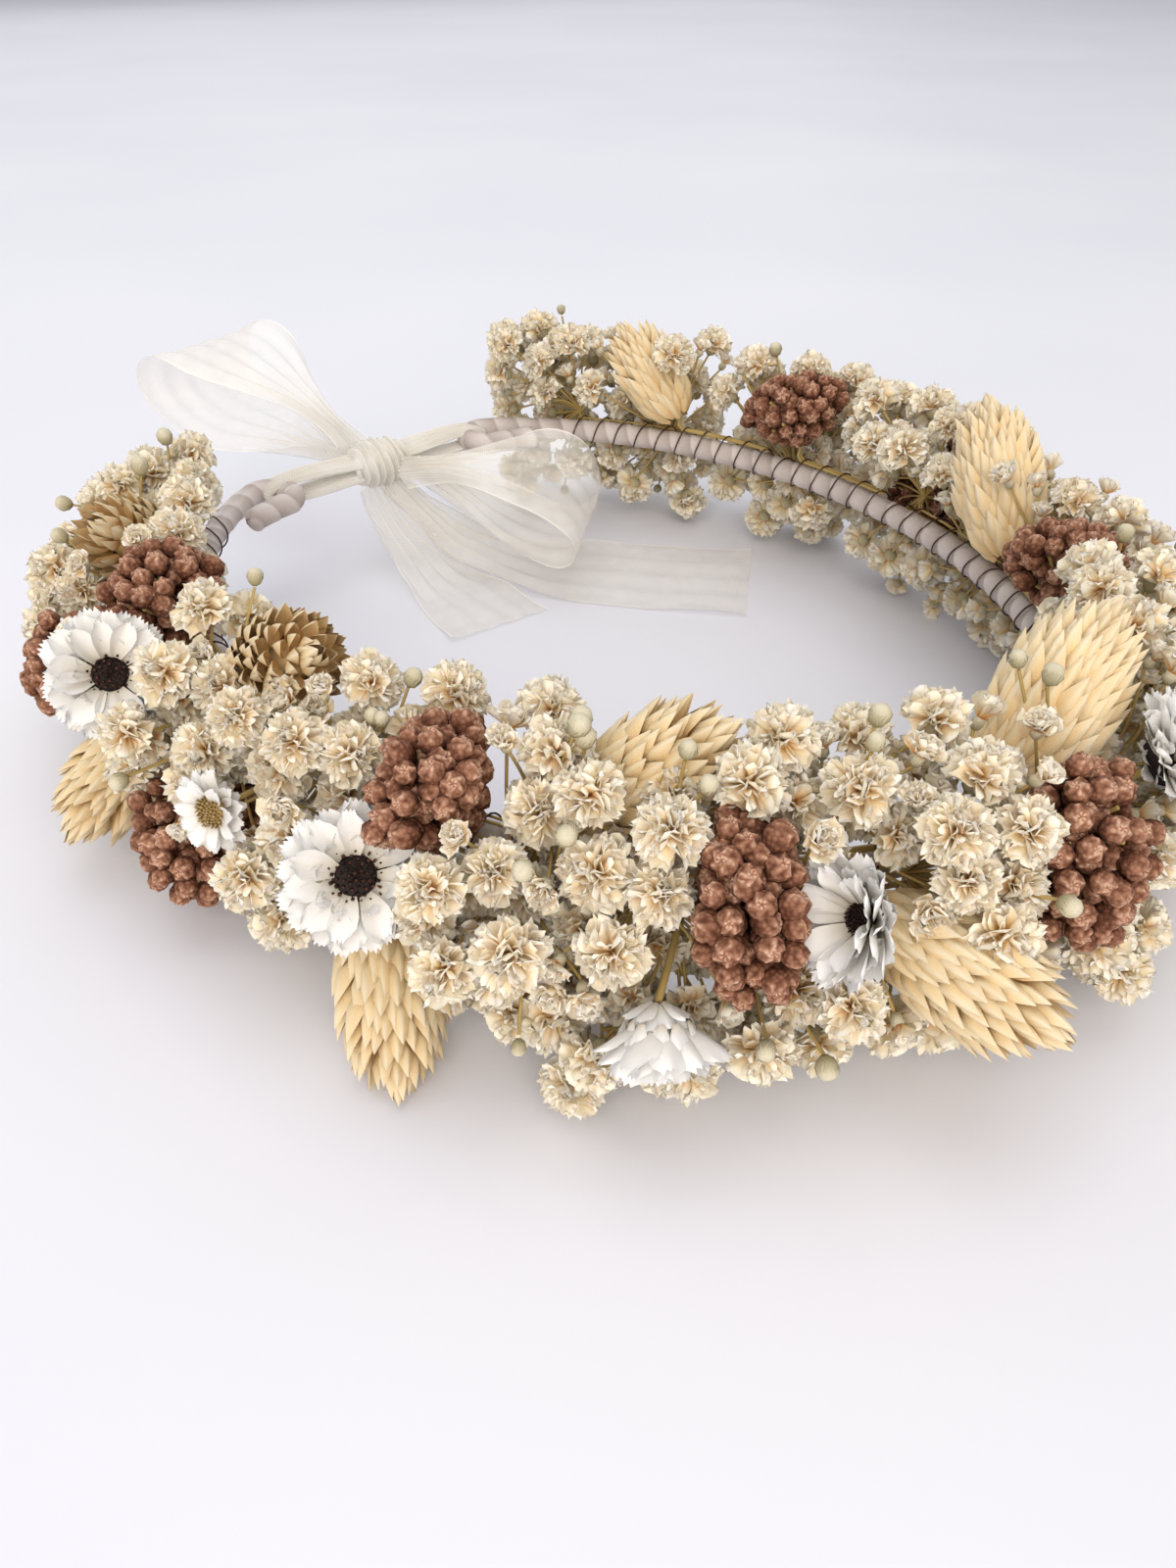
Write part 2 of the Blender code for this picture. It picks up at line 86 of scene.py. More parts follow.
def hoopFrame(angle):
    point = Vector((hoop["halfWidth"] * math.cos(angle), hoop["halfLength"] * math.sin(angle), hoop["height"]))
    along = Vector((-hoop["halfWidth"] * math.sin(angle), hoop["halfLength"] * math.cos(angle), 0)).normalized()
    return point, along.cross(up), along


def roundHoop(angle, section, radius):
    point, outward, _ = hoopFrame(angle)
    return point + radius * (math.cos(section) * outward + math.sin(section) * up)


# angle round the hoop, angle round its section and distance from its line, for each point
def hoopCoordinates(points):
    gaps = np.linalg.norm(points[:, None, :2] - ovalPoints[None], axis=2)
    nearest = gaps.argmin(1)
    angles = ovalAngles[nearest]
    outward = np.stack([hoop["halfLength"] * np.cos(angles), hoop["halfWidth"] * np.sin(angles)], 1)
    outward /= np.linalg.norm(outward, axis=1)[:, None]
    side = ((points[:, :2] - ovalPoints[nearest]) * outward).sum(1)
    rise = points[:, 2] - hoop["height"]
    return angles, np.arctan2(rise, side), np.hypot(side, rise)


def toLinear(hexColour):
    parts = [int(hexColour[i:i + 2], 16) / 255 for i in (1, 3, 5)]
    return tuple(c / 12.92 if c <= 0.04045 else ((c + 0.055) / 1.055) ** 2.4 for c in parts) + (1.0,)


# adds one node with its settings; an input given a socket is linked, anything else is set
def addNode(tree, kind, settings=None, **inputs):
    node = tree.nodes.new(kind)
    for name, value in (settings or {}).items():
        setattr(node, name, value)
    for name, value in inputs.items():
        key = int(name[1:]) if name[0] == "i" and name[1:].isdigit() else name.replace("_", " ")
        if isinstance(value, bpy.types.NodeSocket):
            tree.links.new(value, node.inputs[key])
        else:
            node.inputs[key].default_value = value
    return node


def inScene(name, data):
    obj = bpy.data.objects.new(name, data)
    bpy.context.scene.collection.objects.link(obj)
    return obj


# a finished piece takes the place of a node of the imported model
def standFor(obj, node, body):
    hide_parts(node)
    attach(obj, body)


# a material with its tree, its shader and the object coordinates that its patterns read
def newMaterial(name, roughness, specular):
    material = bpy.data.materials.new(name)
    material.use_nodes = True
    tree = material.node_tree
    shader = tree.nodes["Principled BSDF"]
    shader.inputs["Roughness"].default_value = roughness
    shader.inputs["Specular IOR Level"].default_value = specular
    return material, tree, shader, addNode(tree, "ShaderNodeTexCoord").outputs["Object"]


# colour from a ramp of hex stops, and relief from a height where it has any strength
def finishSurface(tree, shader, factor, stops, height=None, strength=0.0, depth=0.0):
    node = addNode(tree, "ShaderNodeValToRGB", Fac=factor)
    ramp = node.color_ramp
    ramp.elements[0].position, ramp.elements[0].color = stops[0][0], toLinear(stops[0][1])
    ramp.elements[1].position, ramp.elements[1].color = stops[-1][0], toLinear(stops[-1][1])
    for place, colour in stops[1:-1]:
        ramp.elements.new(place).color = toLinear(colour)
    tree.links.new(node.outputs["Color"], shader.inputs["Base Color"])
    if strength:
        bump = addNode(tree, "ShaderNodeBump", Height=height, Strength=strength, Distance=depth)
        tree.links.new(bump.outputs["Normal"], shader.inputs["Normal"])


# dried plants: the tone from foot to tip picks the colour, moved a little by soft blotches;
# veins or scales stand in relief together with a fine crumple
def plantMaterial(name, look):
    material, tree, shader, place = newMaterial(name, look["roughness"], look["shine"])
    tone = addNode(tree, "ShaderNodeAttribute", {"attribute_name": "tone"})
    blotch = addNode(tree, "ShaderNodeTexNoise", Vector=place, Scale=1 / look["blotch"], Detail=3.0)
    spread = addNode(tree, "ShaderNodeMath", {"operation": "MULTIPLY_ADD"}, i0=blotch.outputs["Fac"],
                     i1=look["mottle"], i2=tone.outputs["Fac"])
    level = addNode(tree, "ShaderNodeMath", {"operation": "SUBTRACT"}, i0=spread.outputs[0],
                    i1=look["mottle"] / 2)
    crumple = addNode(tree, "ShaderNodeTexNoise", Vector=place, Scale=1 / look["crumple"], Detail=2.0)
    # with scales, the tone is lifted on each scale's raised middle and lowered at its rim as the relief goes: a
    # painted highlight and painted shade
    if "scales" in look:
        cells = addNode(tree, "ShaderNodeTexVoronoi", {"feature": "F1"}, Vector=place,
                        Scale=1 / look["scales"], Randomness=0.7)
        relief = addNode(tree, "ShaderNodeMapRange", Value=cells.outputs["Distance"], From_Min=0.15,
                         From_Max=0.75, To_Min=1.0, To_Max=0.0).outputs["Result"]
        lifted = addNode(tree, "ShaderNodeMath", {"operation": "MULTIPLY_ADD"}, i0=relief,
                         i1=look["scalePaintedHighlight"], i2=level.outputs[0])
        level = addNode(tree, "ShaderNodeMath", {"operation": "SUBTRACT"}, i0=lifted.outputs[0],
                        i1=look["furrowPaintedShade"])
    else:
        uv = addNode(tree, "ShaderNodeUVMap", {"uv_map": "petal"})
        relief = addNode(tree, "ShaderNodeTexWave", {"bands_direction": "X"}, Vector=uv.outputs["UV"],
                         Scale=look["veins"], Distortion=1.2, Detail=1.0).outputs["Fac"]
    both = addNode(tree, "ShaderNodeMath", {"operation": "MULTIPLY_ADD"}, i0=relief, i1=look["veinDepth"],
                   i2=crumple.outputs["Fac"])
    finishSurface(tree, shader, level.outputs[0], look["stops"], both.outputs[0], look["bump"], 0.3 * mm)
    if look["glow"]:
        shader.inputs["Subsurface Weight"].default_value = look["glow"]
        shader.inputs["Subsurface Radius"].default_value = (1.0, 0.8, 0.5)
        shader.inputs["Subsurface Scale"].default_value = 1.5 * mm
    return material


plantLooks = {
    # baby's breath petals, air dried: crumpled ivory, stopped down to deep straw and tan at each petal's foot,
    # partly the dried petal's own colour and partly painted warm shade down in the head
    "driedIvoryPetal": {"stops": [(0.0, "#d68d40"), (0.24, "#ffd190"), (0.50, "#ffe8c2"), (1.0, "#fff7e6")],
                        "blotch": 13 * mm, "mottle": 0.2, "veins": 5.0, "veinDepth": 0.5, "crumple": 0.9 * mm,
                        "bump": 0.1, "roughness": 0.85, "glow": 0.5, "shine": 0.0},
    # their calyx and shut buds: matte grey green, paler towards the tip
    "greenCalyx": {"stops": [(0.0, "#8f8861"), (0.45, "#b9b192"), (1.0, "#ded6bd")],
                   "blotch": 4 * mm, "mottle": 0.4, "veins": 6.0, "veinDepth": 0.8, "crumple": 0.8 * mm,
                   "bump": 0.4, "roughness": 0.65, "glow": 0.0, "shine": 0.3},
    # canary grass: papery straw bracts, satin along the folds, pale at the keel
    "strawBract": {"stops": [(0.0, "#cf9a58"), (0.35, "#e6bf80"), (0.68, "#f5dcae"), (1.0, "#fdf0d4")],
                   "blotch": 9 * mm, "mottle": 0.25, "veins": 7.0, "veinDepth": 0.9, "crumple": 0.9 * mm,
                   "bump": 0.4, "roughness": 0.5, "glow": 0.1, "shine": 0.4},
    # rice flower: beads of dry mauve brown scales; the paler middle of each scale is a painted highlight, and
    # the near-black low end of the ramp, reached in the furrows and at each bead's foot, is painted shade
    "brownBud": {"stops": [(0.0, "#2b1710"), (0.35, "#6b4535"), (0.7, "#a2765f"), (1.0, "#d4af98")],
                 "blotch": 6 * mm, "mottle": 0.4, "scales": 0.8 * mm, "scalePaintedHighlight": 0.28, "furrowPaintedShade": 0.17,
                 "veinDepth": 2.2, "crumple": 0.6 * mm, "bump": 0.35, "roughness": 0.9, "glow": 0.0,
                 "shine": 0.05},
    # everlasting: stiff papery petals, white with a warmer foot and a light satin
    "whitePaperPetal": {"stops": [(0.0, "#b3a78f"), (0.25, "#dcd6ca"), (0.55, "#f1efeb"), (1.0, "#fdfdfc")],
                        "blotch": 8 * mm, "mottle": 0.18, "veins": 9.0, "veinDepth": 0.8, "crumple": 1.2 * mm,
                        "bump": 0.3, "roughness": 0.45, "glow": 0.15, "shine": 0.45},
    # the everlasting's middle: a felt of tiny near-black florets
    "darkDisc": {"stops": [(0.0, "#120906"), (0.5, "#2b1610"), (1.0, "#694029")],
                 "blotch": 2 * mm, "mottle": 0.5, "veins": 3.0, "veinDepth": 0.5, "crumple": 0.5 * mm,
                 "bump": 0.5, "roughness": 0.7, "glow": 0.0, "shine": 0.4},
    "tanDisc": {"stops": [(0.0, "#7b6234"), (0.5, "#ab8e58"), (1.0, "#d3bd8c")],
                "blotch": 2 * mm, "mottle": 0.5, "veins": 3.0, "veinDepth": 0.5, "crumple": 0.5 * mm,
                "bump": 0.5, "roughness": 0.75, "glow": 0.0, "shine": 0.3},
    # cut stalks: straw with olive and brown stretches
    "dryStem": {"stops": [(0.0, "#7f6a38"), (0.5, "#b79d60"), (1.0, "#d6c28a")],
                "blotch": 7 * mm, "mottle": 0.8, "veins": 3.0, "veinDepth": 0.4, "crumple": 0.9 * mm,
                "bump": 0.3, "roughness": 0.55, "glow": 0.0, "shine": 0.35},
}
materials = {name: plantMaterial(name, look) for name, look in plantLooks.items()}


# crepe paper tape, stretched and wound on: fine wrinkles across the strip, soft and matte
def crepeTape():
    material, tree, shader, place = newMaterial("woundCrepePaperTape", 0.8, 0.25)
    uv = addNode(tree, "ShaderNodeUVMap", {"uv_map": "petal"}).outputs["UV"]
    tone = addNode(tree, "ShaderNodeAttribute", {"attribute_name": "tone"})
    dirt = addNode(tree, "ShaderNodeTexNoise", Vector=place, Scale=1 / (12 * mm), Detail=4.0)
    # the tone carries the painted shade under each turn of the strip; the noise adds random blotches
    mixed = addNode(tree, "ShaderNodeMath", {"operation": "MULTIPLY_ADD"}, i0=dirt.outputs["Fac"], i1=0.5,
                    i2=tone.outputs["Fac"])
    wrinkle = addNode(tree, "ShaderNodeTexNoise", Vector=place, Scale=1 / (0.5 * mm), Detail=3.0, Roughness=0.7)
    weave = addNode(tree, "ShaderNodeTexWave", {"bands_direction": "Y"}, Vector=uv, Scale=2.0, Distortion=4.0)
    both = addNode(tree, "ShaderNodeMath", {"operation": "MULTIPLY_ADD"}, i0=weave.outputs["Fac"], i1=0.3,
                   i2=wrinkle.outputs["Fac"])
    finishSurface(tree, shader, mixed.outputs[0], [(0.15, "#8d7f78"), (0.5, "#c3b7b1"), (1.0, "#e4dcd8")],
                  both.outputs[0], 0.6, 0.3 * mm)
    return material


wireLooks = {
    # reel wire with brown enamel, rubbed to bare steel in places
    "brownEnamelledWire": {"stops": [(0.35, "#2a1b16"), (0.6, "#4a3229"), (0.75, "#8b776c")],
                           "marks": 3 * mm, "detail": 2.0, "bump": 0.15, "roughness": 0.38, "metallic": 0.0},
    # drawn steel wire, dull, with fine marks of the die
    "drawnSteelWire": {"stops": [(0.3, "#77726c"), (0.7, "#a8a39c")],
                       "marks": 1.5 * mm, "detail": 3.0, "bump": 0.0, "roughness": 0.35, "metallic": 1.0},
}


def wireMaterial(name, look):
    material, tree, shader, place = newMaterial(name, look["roughness"], 0.5)
    shader.inputs["Metallic"].default_value = look["metallic"]
    marks = addNode(tree, "ShaderNodeTexNoise", Vector=place, Scale=1 / look["marks"], Detail=look["detail"])
    depth = marks.outputs["Fac"]
    finishSurface(tree, shader, depth, look["stops"], depth, look["bump"], 0.1 * mm)
    return material


organza = {
    "threadPitch": 0.45 * mm,          # real organza has four threads a millimetre, drawn coarser to show
    "sheerIvoryOrganza": 0.30,         # cover of a single layer seen square on
    "gatheredIvoryOrganza": 0.62,      # cover where the cloth is crushed together
    "edge": 0.85,                      # cover of the woven selvedge
    "edgeShare": 0.045,
}


# sheer ivory organza: an open plain weave with a crisp sheen and a firmer woven edge
def organzaCloth(name):
    material, tree, shader, place = newMaterial(name, 0.5, 0.4)
    cover = organza[name]
    shader.inputs["Sheen Weight"].default_value = 0.5
    shader.inputs["Sheen Roughness"].default_value = 0.35
    shader.inputs["Sheen Tint"].default_value = toLinear("#fffaf0")
    uv = addNode(tree, "ShaderNodeUVMap", {"uv_map": "petal"})
    split = addNode(tree, "ShaderNodeSeparateXYZ", Vector=uv.outputs["UV"])
    threads = []
    for axis in ("X", "Y"):
        turns = addNode(tree, "ShaderNodeMath", {"operation": "MULTIPLY"}, i0=split.outputs[axis],
                        i1=2 * math.pi * mm / organza["threadPitch"])
        threads.append(addNode(tree, "ShaderNodeMath", {"operation": "SINE"}, i0=turns.outputs[0]).outputs[0])
    weave = addNode(tree, "ShaderNodeMath", {"operation": "MAXIMUM"}, i0=threads[0], i1=threads[1])
    edge = addNode(tree, "ShaderNodeAttribute", {"attribute_name": "tone"})
    folds = addNode(tree, "ShaderNodeTexNoise", Vector=place, Scale=1 / (9 * mm), Detail=2.0)
    body = addNode(tree, "ShaderNodeMapRange", Value=weave.outputs[0], From_Min=-1.0, To_Min=cover * 0.8,
                   To_Max=cover * 1.25)
    worn = addNode(tree, "ShaderNodeMath", {"operation": "MULTIPLY_ADD"}, i0=folds.outputs["Fac"], i1=0.16,
                   i2=body.outputs["Result"])
    firm = addNode(tree, "ShaderNodeMath", {"operation": "MAXIMUM"}, i0=worn.outputs[0], i1=edge.outputs["Fac"])
    tree.links.new(firm.outputs[0], shader.inputs["Alpha"])
    finishSurface(tree, shader, folds.outputs["Fac"], [(0.2, "#f8f3e8"), (0.8, "#fffdf8")],
                  weave.outputs[0], 0.25, 0.1 * mm)
    return material


materials["woundCrepePaperTape"] = crepeTape()
materials.update({name: wireMaterial(name, look) for name, look in wireLooks.items()})
materials.update({name: organzaCloth(name) for name in ("sheerIvoryOrganza", "gatheredIvoryOrganza")})
print("materials made:", len(materials))


# a small mesh with a tone at each point, from foot to edge, and a flat map
def newMesh(name, points, faces, tones, flats, finish):
    mesh = bpy.data.meshes.new(name)
    mesh.from_pydata([tuple(p) for p in points], [], faces)
    mesh.attributes.new("tone", "FLOAT", "POINT").data.foreach_set("value", [float(t) for t in tones])
    corners = np.zeros(len(mesh.loops), dtype=np.int32)
    mesh.loops.foreach_get("vertex_index", corners)
    mesh.uv_layers.new(name="petal").data.foreach_set("uv", np.array(flats, dtype=np.float32)[corners].ravel())
    mesh.materials.append(materials[finish])
    mesh.polygons.foreach_set("use_smooth", [True] * len(faces))
    mesh.update()
    return mesh


def partCollection(name, meshes):
    group = bpy.data.collections.new(name)
    for i, mesh in enumerate(meshes):
        group.objects.link(bpy.data.objects.new(f"{name}_{i}", mesh))
    return group


def gridFaces(rows, columns):
    return [(r * columns + c, r * columns + c + 1, (r + 1) * columns + c + 1, (r + 1) * columns + c)
            for r in range(rows - 1) for c in range(columns - 1)]


# one petal along +X from the origin with its face to +Z; width and height go by the shape's row list
def petalShape(outline, columns, cup, curl, frill, teeth, rng, toneFoot=0.0):
    points, tones, flats = [], [], []
    phase, skew = rng.uniform(0, 6.28), rng.uniform(-0.1, 0.1)
    for u, half in outline:
        for c in range(columns):
            v = 2 * c / (columns - 1) - 1
            ripple = frill * u ** 1.5 * math.sin(phase + 4.5 * v + 2.0 * u)
            notch = teeth * u ** 8 * (rng.uniform(0.3, 1.0) if c % 2 else -rng.uniform(0.3, 1.0))
            x = u - 0.28 * half * u * v * v + notch + 0.4 * frill * u ** 5 * math.sin(phase + 7 * v)
            z = cup * half * v * v + curl * u * u + ripple
            points.append(Vector((x, half * v + skew * u * u, z)))
            outward = min(1.0, u * (0.95 + 0.1 * v * v))
            tones.append(toneFoot + (1 - toneFoot) * outward + rng.uniform(-0.04, 0.04))
            flats.append((v * 0.5 + 0.5, u))
    return points, gridFaces(len(outline), columns), tones, flats


# turned solid about +Z through (radius, height) pairs
def turned(profile, sides, toneLow, toneHigh, wobble=0.0, rng=None):
    points, tones, flats, faces = [], [], [], []
    for r, (radius, height) in enumerate(profile):
        share = r / (len(profile) - 1)
        for k in range(sides):
            turn = 2 * math.pi * (k + 0.5 * (r % 2)) / sides
            grow = 1 + (rng.uniform(-wobble, wobble) if rng else 0)
            points.append(Vector((radius * grow * math.cos(turn), radius * grow * math.sin(turn), height)))
            tones.append(toneLow + (toneHigh - toneLow) * share)
            flats.append((k / sides, share))
    for r in range(len(profile) - 1):
        for k in range(sides):
            a, b = r * sides + k, r * sides + (k + 1) % sides
            faces.append((a, b, b + sides, a + sides))
    faces.append(tuple(range(sides))[::-1])
    faces.append(tuple(len(points) - sides + k for k in range(sides)))
    return points, faces, tones, flats


# a node tree with named inputs and one geometry output
def newTree(name, inputs):
    tree = bpy.data.node_groups.new(name, "GeometryNodeTree")
    for label, kind in inputs:
        tree.interface.new_socket(label, in_out="INPUT", socket_type=f"NodeSocket{kind}")
    tree.interface.new_socket("Geometry", in_out="OUTPUT", socket_type="NodeSocketGeometry")
    return tree, tree.nodes.new("NodeGroupInput").outputs


# thin tube along a mesh's edges, closed at both ends
def tubeAlong(tree, line, radius, sides):
    curve = addNode(tree, "GeometryNodeMeshToCurve", Mesh=line)
    ring = addNode(tree, "GeometryNodeCurvePrimitiveCircle", Resolution=sides, Radius=radius)
    return addNode(tree, "GeometryNodeCurveToMesh", Curve=curve.outputs["Curve"],
                   Profile_Curve=ring.outputs["Curve"], Fill_Caps=True).outputs["Mesh"]


# each branch puts one collection of parts on the points of its own kind, and edges become stalks
def growTree(name, branches):
    inputs = [("Places", "Geometry")]
    for label, _, _ in branches:
        inputs += [(label, "Collection"), (f"{label} size", "Float"), (f"{label} size spread", "Float")]
    tree, given = newTree(name, inputs + [("Stalk radius", "Float"), ("Seed", "Int")])
    kind, turn, stretch = [
        addNode(tree, "GeometryNodeInputNamedAttribute", {"data_type": form}, Name=label).outputs["Attribute"]
        for label, form in (("kind", "INT"), ("turn", "QUATERNION"), ("stretch", "FLOAT_VECTOR"))]
    joined = tree.nodes.new("GeometryNodeJoinGeometry")
    for label, number, finish in branches:
        chosen = addNode(tree, "FunctionNodeCompare", {"data_type": "INT", "operation": "EQUAL"},
                         i2=kind, i3=number)
        parts = addNode(tree, "GeometryNodeCollectionInfo", Collection=given[label], Separate_Children=True,
                        Reset_Children=True)
        pick = addNode(tree, "FunctionNodeRandomValue", {"data_type": "INT"}, i4=0, i5=99, Seed=given["Seed"])
        least = addNode(tree, "ShaderNodeMath", {"operation": "SUBTRACT"}, i0=1.0,
                        i1=given[f"{label} size spread"])
        size = addNode(tree, "FunctionNodeRandomValue", {"data_type": "FLOAT"}, i2=least.outputs[0], i3=1.0,
                       Seed=given["Seed"])
        scaled = addNode(tree, "ShaderNodeMath", {"operation": "MULTIPLY"}, i0=size.outputs[1],
                         i1=given[f"{label} size"])
        full = addNode(tree, "ShaderNodeVectorMath", {"operation": "SCALE"}, i0=stretch,
                       Scale=scaled.outputs[0])
        placed = addNode(tree, "GeometryNodeInstanceOnPoints", Points=given["Places"],
                         Selection=chosen.outputs["Result"], Instance=parts.outputs["Instances"],
                         Pick_Instance=True, Instance_Index=pick.outputs[2], Rotation=turn,
                         Scale=full.outputs["Vector"])
        real = addNode(tree, "GeometryNodeRealizeInstances", Geometry=placed.outputs["Instances"])
        done = addNode(tree, "GeometryNodeSetMaterial", Geometry=real.outputs["Geometry"],
                       Material=materials[finish])
        tree.links.new(done.outputs["Geometry"], joined.inputs["Geometry"])
    toned = addNode(tree, "GeometryNodeStoreNamedAttribute", {"data_type": "FLOAT", "domain": "POINT"},
                    Geometry=tubeAlong(tree, given["Places"], given["Stalk radius"], 5), Name="tone", Value=0.5)
    done = addNode(tree, "GeometryNodeSetMaterial", Geometry=toned.outputs["Geometry"],
                   Material=materials["dryStem"])
    tree.links.new(done.outputs["Geometry"], joined.inputs["Geometry"])
    addNode(tree, "NodeGroupOutput", Geometry=joined.outputs["Geometry"])
    return tree


# puts a tree on an object, its inputs set by their sockets' identifiers
def growWith(obj, tree, values):
    modifier = obj.modifiers.new("grow", "NODES")
    modifier.node_group = tree
    for item in tree.interface.items_tree:
        if item.item_type == "SOCKET" and item.in_out == "INPUT" and item.name in values:
            modifier[item.identifier] = values[item.name]


# the points and stalks that a grow tree works from
class Places:
    def __init__(self):
        self.points, self.turns, self.stretches, self.kinds, self.edges = [], [], [], [], []

    def add(self, kind, point, turn, stretch=(1, 1, 1)):
        self.points.append(point)
        self.turns.append(turn)
        self.stretches.append(stretch)
        self.kinds.append(kind)

    def addStalk(self, points):
        for i, point in enumerate(points):
            self.add(0, point, Quaternion())
            if i:
                self.edges.append((len(self.points) - 2, len(self.points) - 1))

    # parts: for each branch of the tree its collection, size and spread of sizes
    def toObject(self, name, tree, parts, stalkRadius, seed):
        mesh = bpy.data.meshes.new(name)
        mesh.from_pydata([tuple(p) for p in self.points], self.edges, [])
        for label, form, field, rows in (("turn", "QUATERNION", "value", self.turns),
                                         ("stretch", "FLOAT_VECTOR", "vector", self.stretches)):
            mesh.attributes.new(label, form, "POINT").data.foreach_set(field, [x for row in rows for x in row])
        mesh.attributes.new("kind", "INT", "POINT").data.foreach_set("value", self.kinds)
        obj = inScene(name, mesh)
        values = {"Stalk radius": stalkRadius, "Seed": seed}
        for label, (group, size, spread) in parts.items():
            values.update({label: group, f"{label} size": size, f"{label} size spread": spread})
        growWith(obj, tree, values)
        return obj


# turns live modifiers into plain meshes, all in one evaluation
def makePlain(objects):
    bpy.context.view_layer.update()
    graph = bpy.context.evaluated_depsgraph_get()
    plain = [bpy.data.meshes.new_from_object(obj.evaluated_get(graph)) for obj in objects]
    for obj, mesh in zip(objects, plain):
        obj.modifiers.clear()
        obj.data = mesh
        mesh.name = obj.name


# a turn that stands a part's +Z along a direction
def standing(direction, spin=0.0):
    return direction.to_track_quat("Z", "Y") @ Quaternion((0, 0, 1), spin)


# a petal's turn: polar from the axis (0 straight up it), round the axis by turn, rolled on its own line
def petalTurn(turn, polar, roll=0.0):
    raised = Quaternion((0, 1, 0), -(math.pi / 2 - polar))
    return Quaternion((0, 0, 1), turn) @ raised @ Quaternion((1, 0, 0), roll)


def petalFoot(turn, polar, foot, lift):
    return Quaternion((0, 0, 1), turn) @ Vector((foot * math.sin(polar), 0, foot * math.cos(polar) + lift))


babysBreath = {
    "radius": 6.3 * mm,        # open double head, 12 to 13 mm across
    "halfRadius": 3.5 * mm,    # half open head
    "petals": 62,
    "halfPetals": 20,
    "widest": 118,             # degrees from a full head's axis to its outermost petals
    "headKinds": 6,
    "spacing": 9.0 * mm,       # between the middles of a spray's first heads
    "press": 0.70,             # how close heads may stand, against the sum of their radii
    "budRadius": 1.65 * mm,
    "budsEach": 2,
    "stalkRadius": 0.28 * mm,
    # size and spread of sizes of what the spray's tree places
    "openSize": (1.04, 0.16), "calyxSize": (1.0, 0.1), "halfSize": (1.1, 0.3), "smallCalyxSize": (0.62, 0.1),
    "shutSize": (1.1, 0.35),
}
roundPetal = [(0.0, 0.07), (0.36, 0.20), (0.68, 0.33), (0.90, 0.32), (1.0, 0.19)]
petalRng = random.Random(11)
ivoryPetals = []
for i in range(6):
    shape = petalShape(roundPetal, 7, 0.3 + 0.3 * (i % 3), 0.08 * (i % 2), 0.12, 0.05, petalRng)
    ivoryPetals.append(newMesh(f"ivoryPetal{i}", *shape, "driedIvoryPetal"))
calyxProfile = [(0.35, -3.8), (1.2, -3.2), (1.9, -1.8), (1.7, -0.4)]
calyxMesh = newMesh("calyx", *turned([(r * mm, z * mm) for r, z in calyxProfile], 6, 0.1, 0.9), "greenCalyx")
headTree = growTree("headFromPetals", [("Petals", 1, "driedIvoryPetal")])
petalGroup = partCollection("ivoryPetals", ivoryPetals)


# petals crowd from the rim up to the middle, each a golden turn on from the last
def openHead(number, openness):
    rng = random.Random(40 + number)
    places = Places()
    full = openness > 0.8
    count = babysBreath["petals"] if full else babysBreath["halfPetals"]
    radius = babysBreath["radius"] if full else babysBreath["halfRadius"] * 1.25
    for i in range(count):
        share = i / (count - 1)
        polar = math.radians(babysBreath["widest"] * openness) * (1 - share) ** 0.60
        polar += math.radians(rng.uniform(-9, 9))
        turn = i * goldenTurn + rng.uniform(-0.3, 0.3)
        length = radius * rng.uniform(0.80, 1.0) * (1 - 0.10 * share)
        wide = rng.uniform(0.85, 1.2) * (1 - 0.2 * share) * (1.0 if full else 1.5)
        roll = rng.uniform(-0.9, 0.9) if full else rng.uniform(-0.25, 0.25)
        places.add(1, Vector((0, 0, -0.1 * radius)), petalTurn(turn, polar, roll),
                   (length, length * wide, length))
    return places.toObject(f"ivoryHead_{number}", headTree, {"Petals": (petalGroup, 1.0, 0.08)}, 0.0, number)


openHeads = [openHead(i, 1.0) for i in range(babysBreath["headKinds"])]
halfHeads = [openHead(i, openness) for i, openness in ((11, 0.36), (12, 0.46), (13, 0.56), (14, 0.42))]
makePlain(openHeads + halfHeads)


# shut bud, pale at the tip
def budMesh(number):
    rng = random.Random(80 + number)
    radius = babysBreath["budRadius"]
    profile = [(0.25, -1.10), (0.72, -0.80), (1.0, -0.1), (0.94, 0.45), (0.60, 0.90), (0.18, 1.02)]
    parts = turned([(r * radius, z * radius) for r, z in profile], 8, 0.0, 1.1, 0.07, rng)
    return newMesh(f"shutBud{number}", *parts, "greenCalyx")


# takes objects out of the scene into a collection that a tree places
def groupOf(name, objects):
    group = bpy.data.collections.new(name)
    for obj in objects:
        group.objects.link(obj)
        bpy.context.scene.collection.objects.unlink(obj)
    return group


openGroup = groupOf("openHeads", openHeads)
halfGroup = groupOf("halfHeads", halfHeads)
calyxGroup = partCollection("calyxes", [calyxMesh])
shutGroup = partCollection("shutBuds", [budMesh(i) for i in range(4)])

riceFlower = {
    "radius": 2.15 * mm,       # one bud
    "spacing": 3.85 * mm,
    "layers": ((0.8, 1.0), (2.4, 1.12)),      # depth in bud radii under the solid's skin, share of the spacing
    "budSize": (1.08, 0.22),
    "stalkRadius": 0.4 * mm,
}


